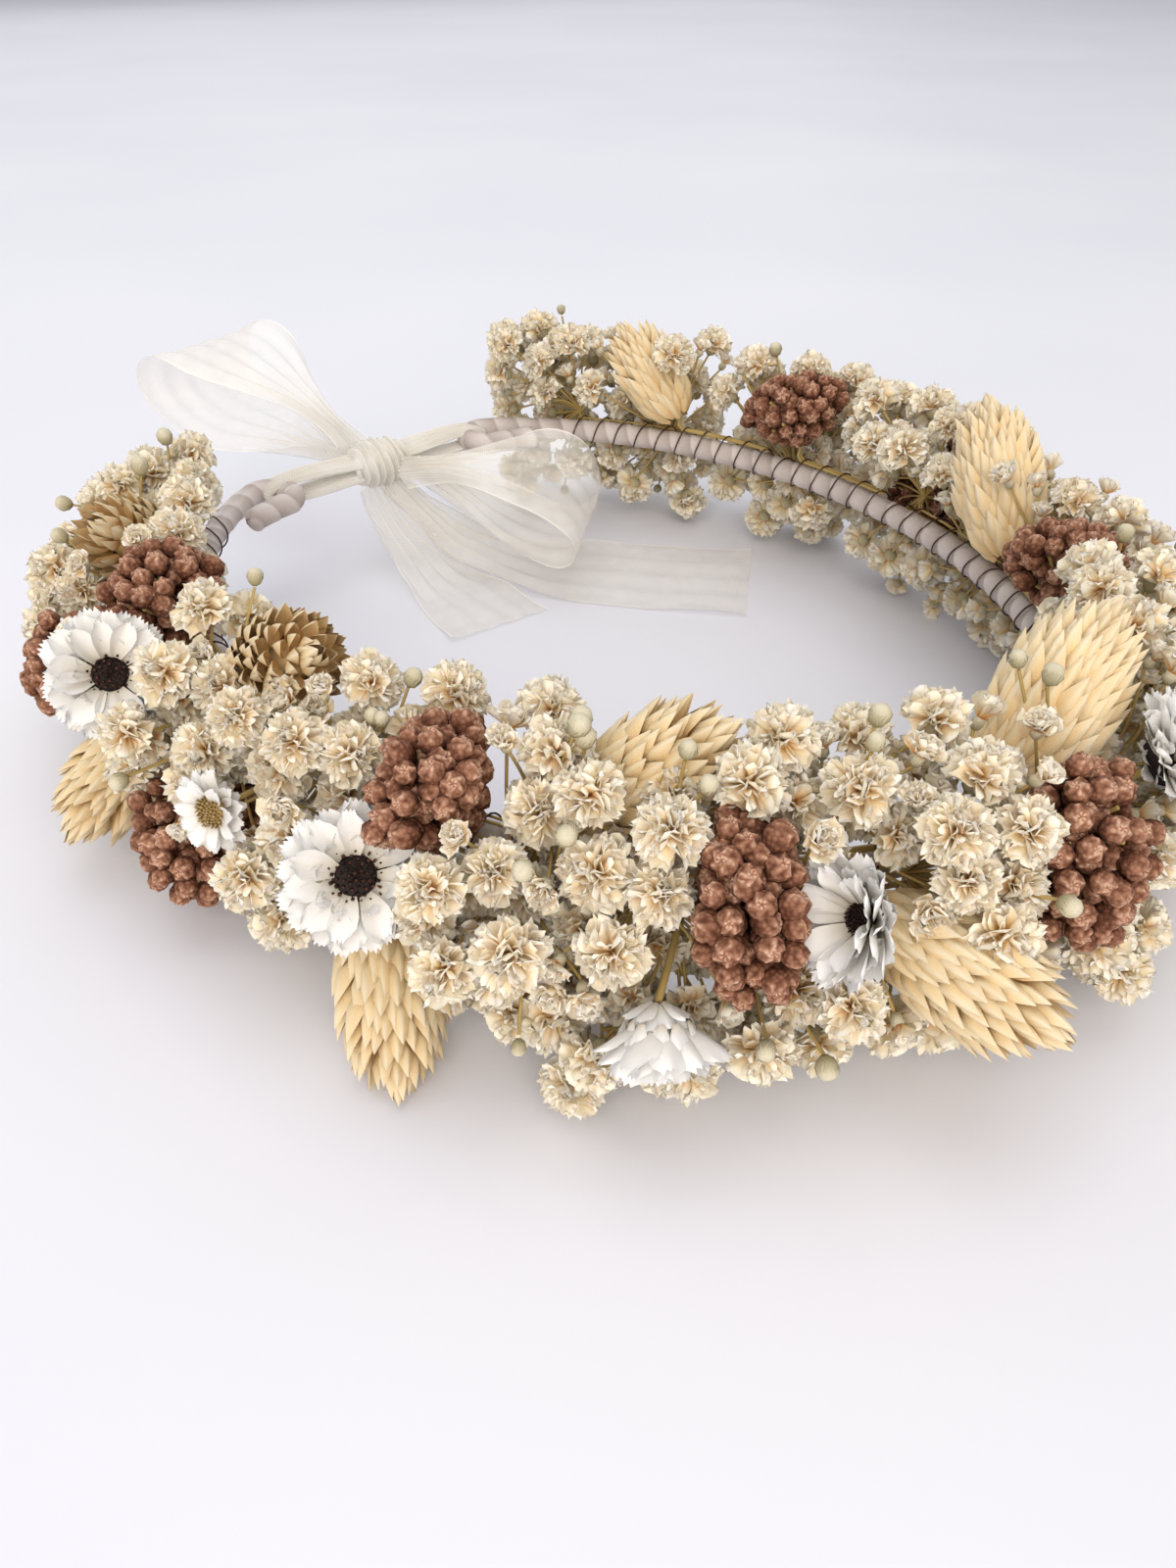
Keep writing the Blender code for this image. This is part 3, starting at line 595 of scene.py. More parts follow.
# a bead closed at the top by a whorl of small scales
def beadMesh(number):
    rng = random.Random(120 + number)
    radius = riceFlower["radius"]
    profile = [(0.30, -1.05), (0.78, -0.62), (1.0, -0.05), (0.92, 0.40), (0.66, 0.80), (0.34, 1.02),
               (0.12, 0.90)]
    sized = [(r * radius, z * radius) for r, z in profile]
    # the bead's tone runs from dark at its foot to light at its top, painted shade where the beads crowd down
    # in the cluster
    points, faces, tones, flats = turned(sized, 10, 0.15, 0.95, 0.03, rng)
    # five scales meet at the tip: ridges in relief, their tone raised on the ridges and lowered in the furrows
    # between, painted highlight and painted shade
    for i, point in enumerate(points):
        turn = math.atan2(point.y, point.x)
        height = max(0.0, (point.z / radius + 0.7) / 1.7)
        ridge = math.cos(5 * turn) * height
        grow = 1 + 0.17 * ridge
        points[i] = Vector((point.x * grow, point.y * grow, point.z + 0.10 * radius * ridge))
        tones[i] += 0.24 * ridge + rng.uniform(-0.06, 0.06)
    return newMesh(f"brownBead{number}", points, faces, tones, flats, "brownBud")


beadGroup = partCollection("brownBeads", [beadMesh(i) for i in range(5)])

canaryGrass = {
    "length": 31 * mm,
    "radius": 6.8 * mm,
    "bracts": 165,
    "bractLength": 9.4 * mm,
    "bractSize": (1.0, 0.08),
    "lean": 25,                # degrees between a bract and the spike
    "stalkRadius": 0.62 * mm,
}


# boat shaped bract with a keel, along +X, keel to +Z, one unit long
def bractMesh(number):
    rng = random.Random(160 + number)
    points, tones, flats = [], [], []
    outline = [(0.0, 0.09), (0.26, 0.185), (0.52, 0.19), (0.78, 0.10), (1.0, 0.008)]
    for u, half in outline:
        keel = 0.85 * half + 0.06 * math.sin(math.pi * u)
        for c, v in enumerate((-1, -0.5, 0, 0.5, 1)):
            points.append(Vector((u, half * v, keel * (1 - abs(v) ** 1.4) - 0.05 * u * u)))
            tones.append(0.34 + 0.5 * u + (0.22 * (1 - 0.5 * u) if c == 2 else 0.0) + rng.uniform(-0.05, 0.05))
            flats.append((v * 0.5 + 0.5, u))
    return newMesh(f"strawBract{number}", points, gridFaces(len(outline), 5), tones, flats, "strawBract")


bractGroup = partCollection("strawBracts", [bractMesh(i) for i in range(4)])
coreProfile = [(0.15, 0.0), (0.52, 0.1), (0.64, 0.35), (0.52, 0.60), (0.24, 0.80), (0.05, 0.88)]
coreMesh = newMesh("spikeCore", *turned(coreProfile, 10, 0.5, 0.7), "strawBract")
spikeCore = partCollection("spikeCore", [coreMesh])

everlasting = {
    "radius": 11.0 * mm,
    "discRadius": 4.3 * mm,
    "domeHeight": 0.12,
    "below": 4.3 * mm,         # from the tip of its solid down to the disc
    "openness": 0.9,
    # rings from outside in: petals, length share, polar angle, foot radius in mm, width share of the length
    "rings": [(12, 1.00, 90, 2.9, 0.98), (12, 0.97, 80, 3.2, 0.98), (11, 0.90, 69, 3.6, 0.95),
              (11, 0.50, 50, 4.9, 1.1), (9, 0.40, 30, 5.1, 1.2)],
    "stalkRadius": 0.6 * mm,
}
bluntPetal = [(0.0, 0.13), (0.25, 0.22), (0.50, 0.29), (0.75, 0.31), (0.92, 0.25), (1.0, 0.17)]
paperRng = random.Random(21)
paperPetals = []
for i in range(6):
    shape = petalShape(bluntPetal, 9, 0.35 + 0.1 * (i % 3), 0.05 * (i % 3), 0.030, 0.060, paperRng, 0.1)
    paperPetals.append(newMesh(f"paperPetal{i}", *shape, "whitePaperPetal"))
paperGroup = partCollection("paperPetals", paperPetals)
domeProfile = [(1.0, -0.55), (1.0, -0.15), (0.85, 0.08), (0.5, 0.14), (0.12, 0.10)]
floretProfile = [(0.10, 0.0), (0.085, 0.16), (0.03, 0.26)]


# a low dome and three sorts of floret for the middle of a rayed flower
def discParts(name, finish, sides, domeTones, floretTones):
    dome = newMesh(f"{name}Dome", *turned(domeProfile, sides, *domeTones), finish)
    foot, tip, step = floretTones
    florets = [newMesh(f"{name}Floret{i}", *turned(floretProfile, 4, foot, tip + step * i), finish)
               for i in range(3)]
    return partCollection(f"{name}Domes", [dome]), partCollection(f"{name}Florets", florets)


darkDomes, darkFlorets = discParts("dark", "darkDisc", 14, (0.1, 0.3), (0.2, 0.5, 0.25))
tanDomes, tanFlorets = discParts("tan", "tanDisc", 12, (0.2, 0.6), (0.3, 0.6, 0.2))


daisyHead = {
    "radius": 6.8 * mm,
    "discRadius": 2.6 * mm,
    "domeHeight": 0.25,
    "below": 2.2 * mm,
    "openness": 1.0,
    "rings": [(12, 1.0, 82, 1.5, 1.0), (9, 0.88, 68, 1.7, 0.95)],
    "stalkRadius": 0.5 * mm,
}

sprayTree = growTree("babysBreathSpray", [
    ("Open heads", 1, "driedIvoryPetal"), ("Calyxes", 1, "greenCalyx"),
    ("Half open heads", 3, "driedIvoryPetal"), ("Small calyxes", 3, "greenCalyx"),
    ("Shut buds", 2, "greenCalyx")])
clusterTree = growTree("riceFlowerCluster", [("Beads", 1, "brownBud")])
spikeTree = growTree("canaryGrassSpike", [("Bracts", 1, "strawBract"), ("Core", 2, "strawBract")])
everlastingTree = growTree("everlastingFlower", [("Petals", 1, "whitePaperPetal"), ("Disc", 2, "darkDisc"),
                                                 ("Florets", 3, "darkDisc")])
daisyTree = growTree("daisyFlower", [("Petals", 1, "whitePaperPetal"), ("Disc", 2, "tanDisc"),
                                     ("Florets", 3, "tanDisc")])
print("heads made")


# rice_flower_7 is of the kind rice_flower
def kindOf(name):
    return name.rsplit("_", 1)[0]


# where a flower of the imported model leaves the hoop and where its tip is
def measureFlower(name):
    mesh = frame["nodes"][name].data
    raw = np.zeros(len(mesh.vertices) * 3)
    mesh.vertices.foreach_get("co", raw)
    points, back = np.unique(np.round(raw.reshape(-1, 3), 6), axis=0, return_inverse=True)
    back = back.ravel()
    triangles = np.array([[back[i] for i in face.vertices] for face in mesh.polygons])
    angles, sections, gaps = hoopCoordinates(points)
    valence = np.zeros(len(points))
    np.add.at(valence, triangles.ravel(), 1)
    beyond = gaps > hoop["neck"] + 1.5 * mm
    tip = max(np.flatnonzero(beyond), key=lambda i: (valence[i], gaps[i]))     # most triangles meet there
    lane = gaps < hoop["stemLane"]
    turns = angles[lane]
    if turns.max() - turns.min() > math.pi:
        turns = np.where(turns > math.pi, turns - 2 * math.pi, turns)
    section = math.atan2(np.sin(sections[lane]).mean(), np.cos(sections[lane]).mean())
    neck = roundHoop(turns.max(), section, hoop["neck"])
    return {"name": name, "cut": turns.min(), "leaves": turns.max(), "lane": section, "neck": neck,
            "tip": Vector(points[tip]), "axis": (Vector(points[tip]) - neck).normalized(),
            "points": points, "triangles": triangles, "beyond": beyond}


flowerKinds = ("phalaris", "rice_flower", "gypsophila", "everlasting", "daisy")
flowers = {name: measureFlower(name) for name in sorted(frame["nodes"]) if kindOf(name) in flowerKinds}


# one search tree over the solids of some kinds of flower
def solidsOf(kinds):
    points, faces = [], []
    for name, flower in flowers.items():
        if kindOf(name) in kinds:
            faces += (flower["triangles"] + len(points)).tolist()
            points += [tuple(p) for p in flower["points"]]
    return BVHTree.FromPolygons(points, faces)


riceSolids = solidsOf(("rice_flower",))
shownSolids = solidsOf(("phalaris", "everlasting", "daisy"))
print("flowers measured:", len(flowers))


# the stem under the binding wire, up to where it comes out
def boundStem(flower, shift=0.0):
    span = (flower["leaves"] - flower["cut"]) * 0.95
    steps = 5
    route = [roundHoop(flower["cut"] + span * i / steps, flower["lane"] + shift, hoop["stemLine"])
             for i in range(steps + 1)]
    last = roundHoop(flower["leaves"], flower["lane"] + shift * 0.6, hoop["stemLine"] + mm)
    return route + [last, flower["neck"]]


# line through a few points, smoothed
def smoothLine(points, steps):
    out = []
    padded = [points[0]] + list(points) + [points[-1]]
    for i in range(1, len(padded) - 2):
        a, b, c, d = padded[i - 1:i + 3]
        for k in range(steps):
            t = k / steps
            out.append(0.5 * (2 * b + (c - a) * t + (2 * a - 5 * b + 4 * c - d) * t * t
                              + (3 * b - a - 3 * c + d) * t ** 3))
    return out + [points[-1]]


# evenly spread places over the outer part of a flower's solid
def spreadPlaces(flower, spacing, rng, tries):
    points, beyond = flower["points"], flower["beyond"]
    usable = [t for t in flower["triangles"] if beyond[t].sum() >= 2]
    corners = np.array([points[t] for t in usable])
    areas = np.linalg.norm(np.cross(corners[:, 1] - corners[:, 0], corners[:, 2] - corners[:, 0]), axis=1)
    cumulative = np.cumsum(areas)
    places = []
    for _ in range(tries):
        corner = corners[min(int(np.searchsorted(cumulative, rng.random() * cumulative[-1])), len(corners) - 1)]
        a, b = rng.random(), rng.random()
        if a + b > 1:
            a, b = 1 - a, 1 - b
        spot = Vector(corner[0] + a * (corner[1] - corner[0]) + b * (corner[2] - corner[0]))
        if all((spot - other).length > spacing for other, _ in places):
            places.append((spot, Vector(np.cross(corner[1] - corner[0], corner[2] - corner[0])).normalized()))
    return places


def jitter(rng, amount):
    return Vector([rng.uniform(-amount, amount) for _ in range(3)])


# the band round the hoop that baby's breath fills, between and over all other flowers
band = {
    "inner": 9 * mm, "outer": 27 * mm,                                        # from the hoop's line
    "lowSection": math.radians(-74), "highSection": math.radians(100),        # round the hoop's section
    "before": math.radians(5), "after": math.radians(9),                      # past a spray's neck and tip
    "clearOfRice": 4.4 * mm, "clearOfShown": 7.2 * mm,
    "highest": 51 * mm, "highestBud": 56 * mm,
}
headPlaces = {}
allHeads = []


# distance to some solids, negative inside them
def gapTo(tree, centre):
    spot, normal, _, distance = tree.find_nearest(centre)
    return distance if (centre - spot).dot(normal) > 0 else -distance


def freeForHead(centre, radius):
    if any((centre - other).length < (radius + reach) * babysBreath["press"] for other, reach in allHeads):
        return False
    scale = radius / babysBreath["radius"]
    return (gapTo(riceSolids, centre) > band["clearOfRice"] * scale
            and gapTo(shownSolids, centre) > band["clearOfShown"] * scale)


# heads first stand on each spray's own solid and then fill the band
def placeHeads():
    sprays = [flower for name, flower in flowers.items() if kindOf(name) == "gypsophila"]
    radius = babysBreath["radius"]
    for number, flower in enumerate(sprays):
        rng = random.Random(500 + number)
        headPlaces[flower["name"]] = []
        for spot, normal in spreadPlaces(flower, babysBreath["spacing"], rng, 700):
            centre = spot - normal * radius * 0.72
            centre.z = max(centre.z, radius * 0.92)
            if all((centre - other).length > radius * 1.25 for other, _ in allHeads):
                headPlaces[flower["name"]].append((centre, 1))
                allHeads.append((centre, radius))
    for size, kind, tries in ((radius, 1, 420), (babysBreath["halfRadius"], 3, 160)):
        for number, flower in enumerate(sprays):
            rng = random.Random(900 + number + 50 * kind)
            tipTurn = hoopCoordinates(np.array([flower["tip"]]))[0][0]
            while tipTurn < flower["leaves"] - math.pi:
                tipTurn += 2 * math.pi
            for _ in range(tries):
                angle = rng.uniform(flower["leaves"] - band["before"],
                                    max(tipTurn, flower["leaves"]) + band["after"])
                section = rng.uniform(band["lowSection"], band["highSection"])
                centre = roundHoop(angle, section, rng.uniform(band["inner"], band["outer"]))
                if size * 0.92 < centre.z < band["highest"] and freeForHead(centre, size):
                    headPlaces[flower["name"]].append((centre, kind))
                    allHeads.append((centre, size))


placeHeads()
print("baby's breath heads:", len(allHeads))


# from the middle of an open head, a shut bud and a half open head down to its stalk
footOf = {1: 3.4 * mm, 2: 1.8 * mm, 3: 2.0 * mm}


def addHead(places, flower, middle, centre, kind, rng):
    outward = ((centre - flower["neck"]).normalized() * 0.6 + (centre - middle).normalized() * 0.6
               + jitter(rng, 0.3)).normalized()
    places.add(kind, centre, standing(outward, rng.uniform(0, 6.28)))
    foot = centre - outward * footOf[kind]
    bend = flower["neck"].lerp(foot, 0.5) + flower["axis"] * 1.5 * mm + jitter(rng, mm)
    places.addStalk(smoothLine([flower["neck"], bend, foot], 3))


# a spray: its heads, a few shut buds at its outside, straying stems and two bound stems
def growGypsophila(flower, number):
    rng = random.Random(300 + number)
    places = Places()
    middle = roundHoop(flower["leaves"], flower["lane"], 0.0)
    for centre, kind in headPlaces[flower["name"]]:
        addHead(places, flower, middle, centre, kind, rng)
    buds = 0
    for _ in range(60):
        centre = roundHoop(flower["leaves"] + rng.uniform(-0.04, 0.12),
                           rng.uniform(band["lowSection"], band["highSection"]),
                           rng.uniform(band["outer"] - 7 * mm, band["outer"] + 4 * mm))
        close = min((centre - other).length for other, _ in allHeads)
        apart = min(gapTo(riceSolids, centre), gapTo(shownSolids, centre) - 2 * mm)
        free = 6.6 * mm < close < 12 * mm and apart > 3 * mm and 3 * mm < centre.z < band["highestBud"]
        if buds < babysBreath["budsEach"] and free:
            addHead(places, flower, middle, centre, 2, rng)
            buds += 1
    for branch in strayBranches:
        if flower["name"] == nearestSpray(Vector(branch["stem"][0])):
            stem = smoothLine([flower["neck"]] + [Vector(p) for p in branch["stem"]], 4)
            places.addStalk(stem)
            for kind, place, facing in branch["heads"]:
                centre, outward = Vector(place), Vector(facing).normalized()
                places.add(kind, centre, standing(outward, 1.0))
                joins = min(stem[3:], key=lambda p: (p - centre).length + 0.4 * abs(p.z - 12 * mm))
                places.addStalk([joins, joins.lerp(centre, 0.5) + up * 0.8 * mm, centre - outward * 1.8 * mm])
    for shift in (-0.16, 0.16):
        places.addStalk(boundStem(flower, shift))
    parts = {"Open heads": (openGroup, *babysBreath["openSize"]),
             "Calyxes": (calyxGroup, *babysBreath["calyxSize"]),
             "Half open heads": (halfGroup, *babysBreath["halfSize"]),
             "Small calyxes": (calyxGroup, *babysBreath["smallCalyxSize"]),
             "Shut buds": (shutGroup, *babysBreath["shutSize"])}
    return places.toObject(f"{flower['name']}_spray", sprayTree, parts, babysBreath["stalkRadius"], number)


# stems that hang clear of their spray: kind of head, middle of the head, the way it looks
strayBranches = [
    {"stem": [(-0.0685, -0.0830, 0.020), (-0.0705, -0.0850, 0.012), (-0.0719, -0.0866, 0.0006)],
     "heads": [(1, (-0.0775, -0.0868, 0.0068), (-0.75, -0.45, 0.35)),
               (3, (-0.0612, -0.0922, 0.0120), (0.5, -0.6, 0.5)),
               (3, (-0.0560, -0.0945, 0.0118), (0.8, -0.5, 0.2)),
               (3, (-0.0608, -0.0958, 0.0068), (0.2, -0.8, -0.3))]},
    {"stem": [(0.0200, -0.1130, 0.034), (0.0230, -0.1185, 0.030)],
     "heads": [(3, (0.0255, -0.1225, 0.0275), (0.3, -0.9, -0.1)),
               (2, (0.0185, -0.1235, 0.0235), (-0.3, -0.8, -0.4))]},
]


def nearestSpray(place):
    sprays = [name for name in flowers if kindOf(name) == "gypsophila"]
    return min(sprays, key=lambda name: (flowers[name]["neck"] - place).length)


# a cluster: two layers of buds over short stalks
def growRice(flower, number):
    rng = random.Random(300 + number)
    places = Places()
    for depth, share in riceFlower["layers"]:
        for spot, normal in spreadPlaces(flower, riceFlower["spacing"] * share, rng, 1500):
            centre = spot - normal * riceFlower["radius"] * depth
            outward = (normal + (spot - flower["neck"]).normalized() * 0.6 + jitter(rng, 0.4)).normalized()
            if centre.z > riceFlower["radius"]:
                places.add(1, centre, standing(outward, rng.uniform(0, 6.28)))
    for spot, normal in spreadPlaces(flower, 5.0 * mm, rng, 200):
        foot = spot - normal * 2.5 * mm
        places.addStalk([flower["neck"], flower["neck"].lerp(foot, 0.5) + flower["axis"] * 1.5 * mm, foot])
    for shift in (-0.16, 0.16):
        places.addStalk(boundStem(flower, shift))
    return places.toObject(f"{flower['name']}_cluster", clusterTree,
                           {"Beads": (beadGroup, *riceFlower["budSize"])}, riceFlower["stalkRadius"], number)


# bracts wound round a core, flat on it towards the tip
def growPhalaris(flower, number):
    rng = random.Random(300 + number)
    core = flower["tip"] - flower["neck"]
    wide = spikeWidth(flower)
    length = min(canaryGrass["length"] * wide * 1.04, core.length * 0.97)
    radius = canaryGrass["radius"] * wide
    base = flower["tip"] - flower["axis"] * length
    frameTurn = standing(flower["axis"], number)
    places = Places()
    places.add(2, base, frameTurn, (radius, radius, length))
    count = int(canaryGrass["bracts"] * length * radius / (canaryGrass["length"] * canaryGrass["radius"]))
    for i in range(count):
        share = (i + 0.5) / count
        swell = math.sin(math.pi * (0.14 + 0.66 * share ** 0.9)) ** 0.75
        turn = i * goldenTurn + rng.uniform(-0.08, 0.08)
        lean = canaryGrass["lean"] + 6 * (1 - share) + rng.uniform(-8, 8)
        lean = math.radians(lean * min(1.0, 0.1 + 7 * (1 - share)))
        size = canaryGrass["bractLength"] * (0.78 + 0.27 * math.sin(math.pi * min(1.0, share + 0.15)))
        size *= rng.uniform(0.92, 1.08)
        out = radius * 0.66 * swell * min(1.0, 0.05 + 6 * (1 - share))
        local = Vector((out * math.cos(turn), out * math.sin(turn), length * (-0.04 + 0.86 * share)))
        places.add(1, base + frameTurn @ local, frameTurn @ petalTurn(turn, lean, math.pi), (size, size, size))
    places.addStalk(boundStem(flower) + [base + flower["axis"] * 3 * mm])
    return places.toObject(f"{flower['name']}_spike", spikeTree,
                           {"Bracts": (bractGroup, *canaryGrass["bractSize"]), "Core": (spikeCore, 1.0, 0.0)},
                           canaryGrass["stalkRadius"], number)


# how wide a spike is against the usual one, from its solid
def spikeWidth(flower):
    points = flower["points"][flower["beyond"]] - np.array(flower["tip"])
    axis = np.array(flower["axis"])
    across = points - np.outer(points @ axis, axis)
    return float(np.clip(np.percentile(np.linalg.norm(across, axis=1), 92) / canaryGrass["radius"], 0.9, 1.3))


# everlastings and the daisy: rings of petals round a disc of florets, short bracts underneath
def growRayed(flower, number):
    head, tree, dome, florets = rayedHeads[kindOf(flower["name"])]
    openness = opennessOf.get(flower["name"], head["openness"])
    rng = random.Random(300 + number)
    facing = Vector(facingOf.get(flower["name"], flower["axis"])).normalized()
    centre = flower["tip"] - flower["axis"] * head["below"]
    frameTurn = standing(facing, number)
    places = Places()
    for ring, (count, share, polar, foot, wide) in enumerate(head["rings"]):
        inner = ring > 2                                       # inner rings stand round the disc
        for i in range(count):
            turn = 2 * math.pi * (i + 0.5 * (ring % 2) + rng.uniform(-0.18, 0.18)) / count
            angle = math.radians(polar * openness + rng.uniform(-6, 6))
            length = (head["radius"] - foot * mm * 0.75) * share * rng.uniform(0.93, 1.05)
            reach = foot * mm * 0.9
            local = Quaternion((0, 0, 1), turn) @ Vector((
                reach * (1.0 if inner else math.sin(angle)), 0,
                (0.45 * ring - 1.3) * mm + (0 if inner else reach * math.cos(angle))))
            roll = rng.uniform(-0.22, 0.22)
            places.add(1, centre + frameTurn @ local, frameTurn @ petalTurn(turn, angle, roll),
                       (length, length * wide * rng.uniform(0.92, 1.1), length))
    bracts, seeds = 22, 64
    for i in range(bracts):
        share = i / bracts
        turn, polar = i * goldenTurn, math.radians((80 + 30 * share) * openness)
        local = petalFoot(turn, polar, 1.0 * mm, (-1.6 - 1.2 * share) * mm)
        size = head["radius"] * 0.42
        places.add(1, centre + frameTurn @ local, frameTurn @ petalTurn(turn, polar), (size, size, size))
    disc = head["discRadius"] * (1.0 if openness > 0.8 else 0.55)
    sunk = facing * (0.2 * mm + 5.5 * mm * max(0.0, 0.9 - openness))     # deeper in the cup of a half shut head
    places.add(2, centre + sunk, frameTurn, (disc, disc, disc))
    for i in range(seeds):
        share = math.sqrt((i + 0.5) / seeds)
        turn, out = i * goldenTurn, share * disc * 0.97
        local = Vector((out * math.cos(turn), out * math.sin(turn),
                        disc * head["domeHeight"] * (1 - share ** 2) + 0.2 * mm))
        lean = Vector((local.x / disc * 0.5, local.y / disc * 0.5, 1)).normalized()
        places.add(3, centre + sunk + frameTurn @ local, frameTurn @ standing(lean), (disc, disc, disc))
    places.addStalk(boundStem(flower) + [centre - facing * 2 * mm])
    return places.toObject(f"{flower['name']}_flower", tree, {
        "Petals": (paperGroup, 1.0, 0.06), "Disc": (dome, 1.0, 0.0), "Florets": (florets, 1.0, 0.4)},
        head["stalkRadius"], number)


# how far each everlasting has opened, and heads that look another way than their stem
opennessOf = {"everlasting_1": 0.97, "everlasting_2": 1.0, "everlasting_3": 0.62, "everlasting_4": 0.66}
facingOf = {"everlasting_1": (-0.15, -0.80, 0.55), "everlasting_2": (-0.22, -0.74, 0.62),
            "everlasting_3": (-0.35, -0.45, -0.80), "everlasting_4": (-0.90, 0.22, 0.32)}


rayedHeads = {"everlasting": (everlasting, everlastingTree, darkDomes, darkFlorets),
              "daisy": (daisyHead, daisyTree, tanDomes, tanFlorets)}


growers = {"gypsophila": growGypsophila, "rice_flower": growRice, "phalaris": growPhalaris,
           "everlasting": growRayed, "daisy": growRayed}
grown = {name: growers[kindOf(name)](flower, number) for number, (name, flower) in enumerate(flowers.items())}
makePlain(list(grown.values()))
for name, obj in grown.items():
    standFor(obj, name, "crown")
for group in (petalGroup, openGroup, halfGroup, calyxGroup, shutGroup, beadGroup, bractGroup, spikeCore,
              paperGroup, darkDomes, tanDomes, darkFlorets, tanFlorets):
    for obj in list(group.objects):
        bpy.data.objects.remove(obj)
    bpy.data.collections.remove(group)
print("flowers grown, faces:", sum(len(obj.data.polygons) for obj in grown.values()))


tape = {
    "radius": 2.62 * mm,
    "step": 0.20 * mm,         # one thickness of the overlapping strip
    "lump": 0.06 * mm,
    "pitch": 6.2 * mm,
    "eyeletGap": 6.4 * mm,     # between the hoop's line and the end of the wire turned back beside it
    "spacing": 0.5 * mm,
    "sides": 18,
}
binding = {
    "radius": 0.2 * mm,
    "pitch": 6.0 * mm,
    "inset": 4 * mm,           # bare tape between an eyelet and the first turn
    "steps": 26,
    "overTape": 3.15 * mm,     # from the hoop's line, on bare tape and over stems
    "overStems": 4.95 * mm,
}

arcTurns = np.linspace(hoop["leftEnd"], hoop["rightEnd"], 2401)
arcPoints = np.stack([hoop["halfWidth"] * np.cos(arcTurns), hoop["halfLength"] * np.sin(arcTurns)], 1)
arcLengths = np.concatenate([[0.0], np.cumsum(np.linalg.norm(np.diff(arcPoints, axis=0), axis=1))])
arcTotal = float(arcLengths[-1])


# angle round the hoop after a length of its line
def turnAt(length):
    return float(np.interp(length, arcLengths, arcTurns))


# turned end of the hoop: half a turn inward, then back beside it
def eyeletLine(start, inward):
    point, outward, along = hoopFrame(turnAt(start))
    ahead = -inward * along
    radius = hoop["eyeletRadius"]
    points = []
    for i in range(1, 13):
        turn = math.pi * i / 12
        points.append(point - outward * radius * (1 - math.cos(turn)) + ahead * radius * math.sin(turn))
    for i in range(1, 5):
        share = i / 4
        beside, besideOut, _ = hoopFrame(turnAt(start + inward * hoop["eyeletLength"] * share))
        gap = 2 * radius + (tape["eyeletGap"] - 2 * radius) * share
        points.append(beside - besideOut * gap)
    return points


# which way a line runs at one of its points
def runAt(line, i):
    return (line[min(i + 1, len(line) - 1)] - line[max(i - 1, 0)]).normalized()


# points at one spacing along a line, with their lengths from its start
def evenly(points, spacing):
    raw = np.array([tuple(p) for p in points])
    lengths = np.concatenate([[0], np.cumsum(np.linalg.norm(np.diff(raw, axis=0), axis=1))])
    at = np.linspace(0, lengths[-1], max(2, int(lengths[-1] / spacing)))
    return [Vector([np.interp(x, lengths, raw[:, k]) for k in range(3)]) for x in at], at.tolist()


# the strip steps up at each turn, with small lumps, rounded ends and a tone that paints shade under the edge of
# each turn
def wrapTape():
    middle = [hoopFrame(turnAt(arcTotal * i / 200))[0] for i in range(201)]
    route = eyeletLine(0.0, 1)[::-1] + middle + eyeletLine(arcTotal, -1)
    line, lengths = evenly(smoothLine(route, 3), tape["spacing"])
    rng = random.Random(7)
    points, tones, flats, faces = [], [], [], []
    side = Vector((0, 0, 1))
    lumps = [rng.uniform(-1, 1) for _ in range(400)]
    count = tape["sides"]
    for i, point in enumerate(line):
        run = runAt(line, i)
        side = (side - run * side.dot(run)).normalized()
        other = run.cross(side)
        endRound = min(1.0, 0.3 + min(i, len(line) - 1 - i) * 0.25)
        lump = lumps[int(lengths[i] / (5 * mm)) % len(lumps)] * tape["lump"]
        for k in range(count):
            turn = 2 * math.pi * k / count
            phase = (lengths[i] / tape["pitch"] - turn / (2 * math.pi)) % 1.0
            step = min(phase / 0.92, (1 - phase) / 0.08)
            radius = (tape["radius"] + tape["step"] * step + lump) * endRound
            points.append(point + radius * (math.cos(turn) * side + math.sin(turn) * other))
            # the tone follows the step: darkest at the foot of each turn where the next turn's edge overhangs
            # it, lightest on the raised edge, painted shade under each overlap
            tones.append(0.15 + 0.45 * step)
            flats.append((lengths[i] / mm, k / count))
    for i in range(len(line) - 1):
        for k in range(count):
            a, b = i * count + k, i * count + (k + 1) % count
            faces.append((a, b, b + count, a + count))
    faces.append(tuple(range(count))[::-1])
    faces.append(tuple(len(points) - count + k for k in range(count)))
    obj = inScene("wound_tape", newMesh("wound_tape", points, faces, tones, flats, "woundCrepePaperTape"))
    standFor(obj, "hoop_tape", "crown")


def wireTree():
    inputs = [("Line", "Geometry"), ("Wire radius", "Float"), ("Finish", "Material")]
    tree, given = newTree("wireAlongLine", inputs)
    tube = tubeAlong(tree, given["Line"], given["Wire radius"], 6)
    real = addNode(tree, "GeometryNodeRealizeInstances", Geometry=tube)
    done = addNode(tree, "GeometryNodeSetMaterial", Geometry=real.outputs["Geometry"], Material=given["Finish"])
    addNode(tree, "NodeGroupOutput", Geometry=done.outputs["Geometry"])
    return tree


